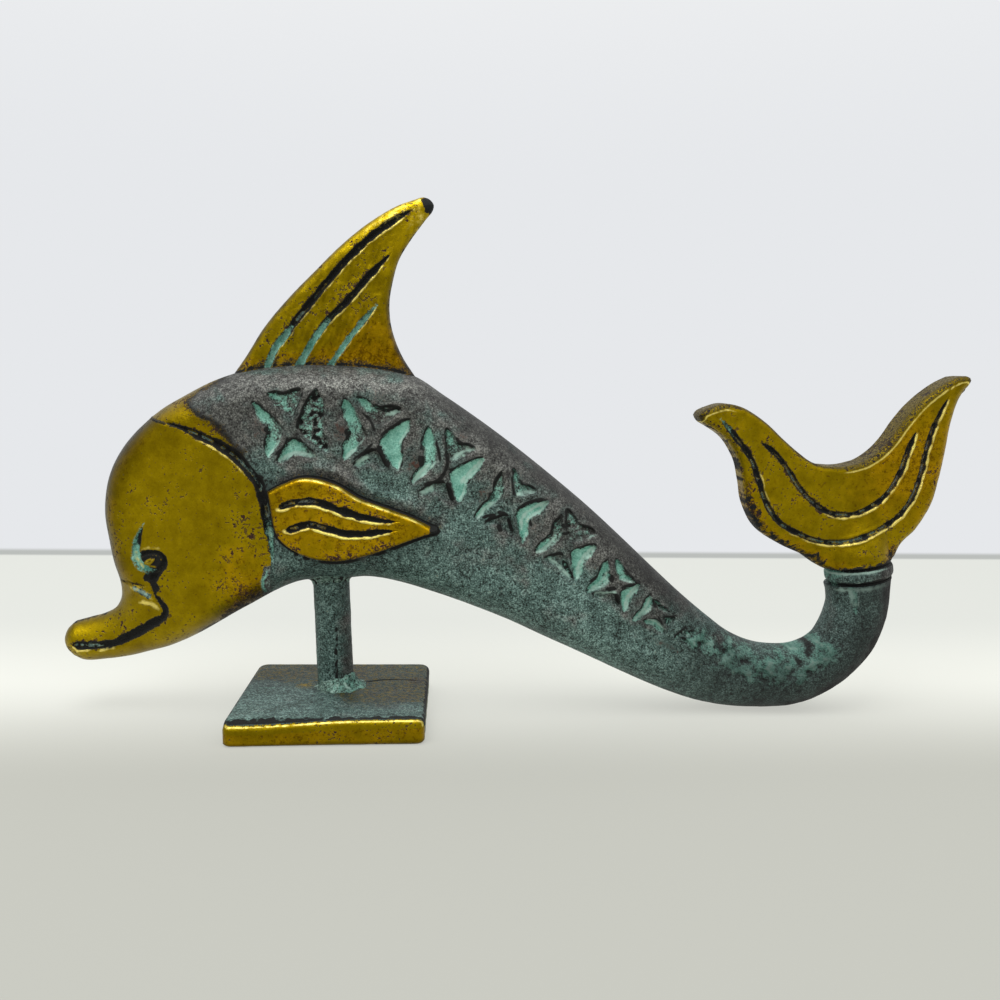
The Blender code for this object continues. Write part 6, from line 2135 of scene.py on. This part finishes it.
@dataclass
class Studio:
    """The floor, the light and the camera."""

    eye: tuple[float, float, float] = (0.02205, -0.1821, 0.0634)
    yaw: float = math.radians(2.66)
    pitch: float = math.radians(7.55)
    roll: float = math.radians(0.77)
    wall_distance: float = 0.15
    wall: Colour = from_srgb(230, 232, 235)
    # The darker band at the wall's foot is the joint, with painted shade in the corner.
    wall_foot: Colour = from_srgb(187, 190, 187)
    # Painted light on the floor: dark in front, a pool of light round the object, dimmer further back.
    near_floor: Colour = (0.54, 0.545, 0.497)
    lit_floor: Colour = (0.86, 0.87, 0.81)
    far_floor: Colour = (0.74, 0.755, 0.715)
    floor_glow: float = 0.65
    floor_size: float = 6.0
    floor_drop: float = 0.0001
    lit_depths: tuple[float, float] = (-0.035, 0.018)
    far_depths: tuple[float, float] = (0.010, 0.070)
    room_front: Colour = (0.46, 0.455, 0.44)
    room_above: Colour = (1.0, 1.0, 0.98)
    room_left: Colour = (0.30, 0.30, 0.29)
    lamp_place: tuple[float, float, float] = (-0.10, -0.16, 0.62)
    lamp_aim: tuple[float, float, float] = (0.03, 0.0, 0.03)
    lamp_size: float = 0.42
    lamp_power: float = 2.0

    def place_camera(self) -> None:
        """The camera at the photograph's place and angle."""
        cos, sin = math.cos, math.sin
        flat = cos(self.pitch)
        forward = Vector((sin(self.yaw) * flat, cos(self.yaw) * flat, -sin(self.pitch)))
        level = Vector((cos(self.yaw), -sin(self.yaw), 0.0))
        upright = level.cross(forward)
        right = cos(self.roll) * level + sin(self.roll) * upright
        up = cos(self.roll) * upright - sin(self.roll) * level
        data = bpy.data.cameras.new("camera")
        data.lens = data.sensor_width = 36.0
        data.clip_start, data.clip_end = 0.01, 20.0
        camera = bpy.data.objects.new("camera", data)
        turn = Matrix((right, up, -forward)).transposed().to_4x4()
        camera.matrix_world = Matrix.Translation(self.eye) @ turn
        bpy.context.scene.collection.objects.link(camera)
        bpy.context.scene.camera = camera

    def seen(self, g: Graph) -> Socket:
        """1 for rays that show the background: from the camera, or by reflection or refraction."""
        path = g.node("ShaderNodeLightPath")
        shiny = g.most(path.outputs["Is Glossy Ray"], path.outputs["Is Transmission Ray"])
        return g.most(path.outputs["Is Camera Ray"], shiny)

    def lay_floor(self) -> None:
        """A pale floor with painted light on it, brightest round the object, that turns into the wall's
        tone behind the object.
        """
        bm = bmesh.new()
        bmesh.ops.create_grid(bm, x_segments=1, y_segments=1, size=self.floor_size)
        bmesh.ops.translate(bm, vec=(0.0, 0.0, -self.floor_drop), verts=bm.verts)
        mesh = bpy.data.meshes.new("floor")
        bm.to_mesh(mesh)
        bm.free()
        floor = bpy.data.objects.new("floor", mesh)
        bpy.context.scene.collection.objects.link(floor)
        material = bpy.data.materials.new("floor")
        material.use_nodes = True
        g = Graph(material.node_tree)
        split = g.node("ShaderNodeSeparateXYZ")
        g.feed(split.inputs[0], g.node("ShaderNodeTexCoord").outputs["Object"])
        depth = split.outputs["Y"]
        # Painted pool of light round the object, darker in front and further back.
        tone = g.mix(g.step(depth, *self.lit_depths), self.near_floor, self.lit_floor)
        tone = g.mix(g.step(depth, *self.far_depths), tone, self.far_floor)
        behind = g.step(depth, self.wall_distance - 0.002, self.wall_distance + 0.002)
        high = g.step(depth, self.wall_distance + 0.006, self.wall_distance + 0.014)
        seen = self.seen(g)
        matt, own = g.coloured("BsdfDiffuse", tone), g.coloured("Emission", tone)
        # For rays that see the floor a share of this tone glows, which thins the object's shadow on it.
        lifted = g.mix_shader(g.times(seen, self.floor_glow), matt, own)
        glow = g.coloured("Emission", g.mix(high, self.wall_foot, self.wall))
        mixed = g.mix_shader(g.times(behind, seen), lifted, glow)
        g.feed(g.node("ShaderNodeOutputMaterial").inputs["Surface"], mixed)
        mesh.materials.append(material)

    def light(self) -> None:
        """A pale room that is dimmer in front and at the left."""
        world = bpy.data.worlds.new("studio")
        bpy.context.scene.world = world
        world.use_nodes = True
        g = Graph(world.node_tree)
        split = g.node("ShaderNodeSeparateXYZ")
        g.feed(split.inputs[0], g.node("ShaderNodeTexCoord").outputs["Generated"])
        front = g.step(g.times(split.outputs["Y"], -1.0), -0.25, 0.75)
        above = g.step(split.outputs["Z"], 0.15, 0.75)
        colour = g.mix(front, self.wall, self.room_front)
        colour = g.mix(above, colour, self.room_above)
        left = g.step(g.times(split.outputs["X"], -1.0), 0.45, 0.95)
        colour = g.mix(g.times(left, 0.45), colour, self.room_left)
        back = g.node("ShaderNodeBackground")
        g.feed(back.inputs["Color"], colour)
        back.inputs["Strength"].default_value = 1.0
        g.feed(g.node("ShaderNodeOutputWorld").inputs["Surface"], back.outputs[0])

    def hang_lamp(self) -> None:
        """A square soft lamp aimed at the object."""
        data = bpy.data.lights.new("overhead_lamp", "AREA")
        data.shape = "SQUARE"
        data.size = self.lamp_size
        data.energy = self.lamp_power
        lamp = bpy.data.objects.new("overhead_lamp", data)
        aim = Vector(self.lamp_aim) - Vector(self.lamp_place)
        turn = aim.to_track_quat("-Z", "Y").to_matrix().to_4x4()
        lamp.matrix_world = Matrix.Translation(self.lamp_place) @ turn
        bpy.context.scene.collection.objects.link(lamp)

    def build(self) -> None:
        """Sets up everything round the object."""
        self.place_camera()
        self.lay_floor()
        self.light()
        self.hang_lamp()
        bpy.context.scene.view_settings.view_transform = "Standard"


def belly_line(body: Body) -> Callable[[float, float], float]:
    """The height of the belly's rounded underside near the post, as a function of (x, y)."""
    lower = body.patch().lower

    def height(x: float, y: float) -> float:
        """Height of the belly above the floor at a point."""
        share = min(abs(y) / (BODY_THICKNESS / 2), 1.0)
        fall = BODY_EDGE_RADIUS * (1.0 - math.sqrt(1.0 - share * share))
        return float(np.interp(x, lower[:, 0], lower[:, 1])) + fall + SEAT[1]

    return height


def main() -> None:
    """Builds the studio and then each sub-assembly of the figurine."""
    logging.basicConfig(level=logging.INFO, format="%(name)s: %(message)s")
    Studio().build()
    workshop = Workshop()
    body, flipper = Body(), Flipper()
    Head().build(workshop)
    body.build(workshop, flipper)
    DorsalFin().build(workshop, body)
    flipper.build(workshop, -1, "left_flipper_casting", "left_flipper")
    flipper.build(workshop, 1, "right_flipper_casting", "right_flipper")
    Fluke().build(workshop)
    Collar().build(workshop)
    Post().build(workshop)
    Plate().build(workshop)
    foot_braze().build(workshop, lambda x, y: PLATE_HIGH.z)
    belly_braze().build(workshop, belly_line(body))


if __name__ == "__main__":
    main()
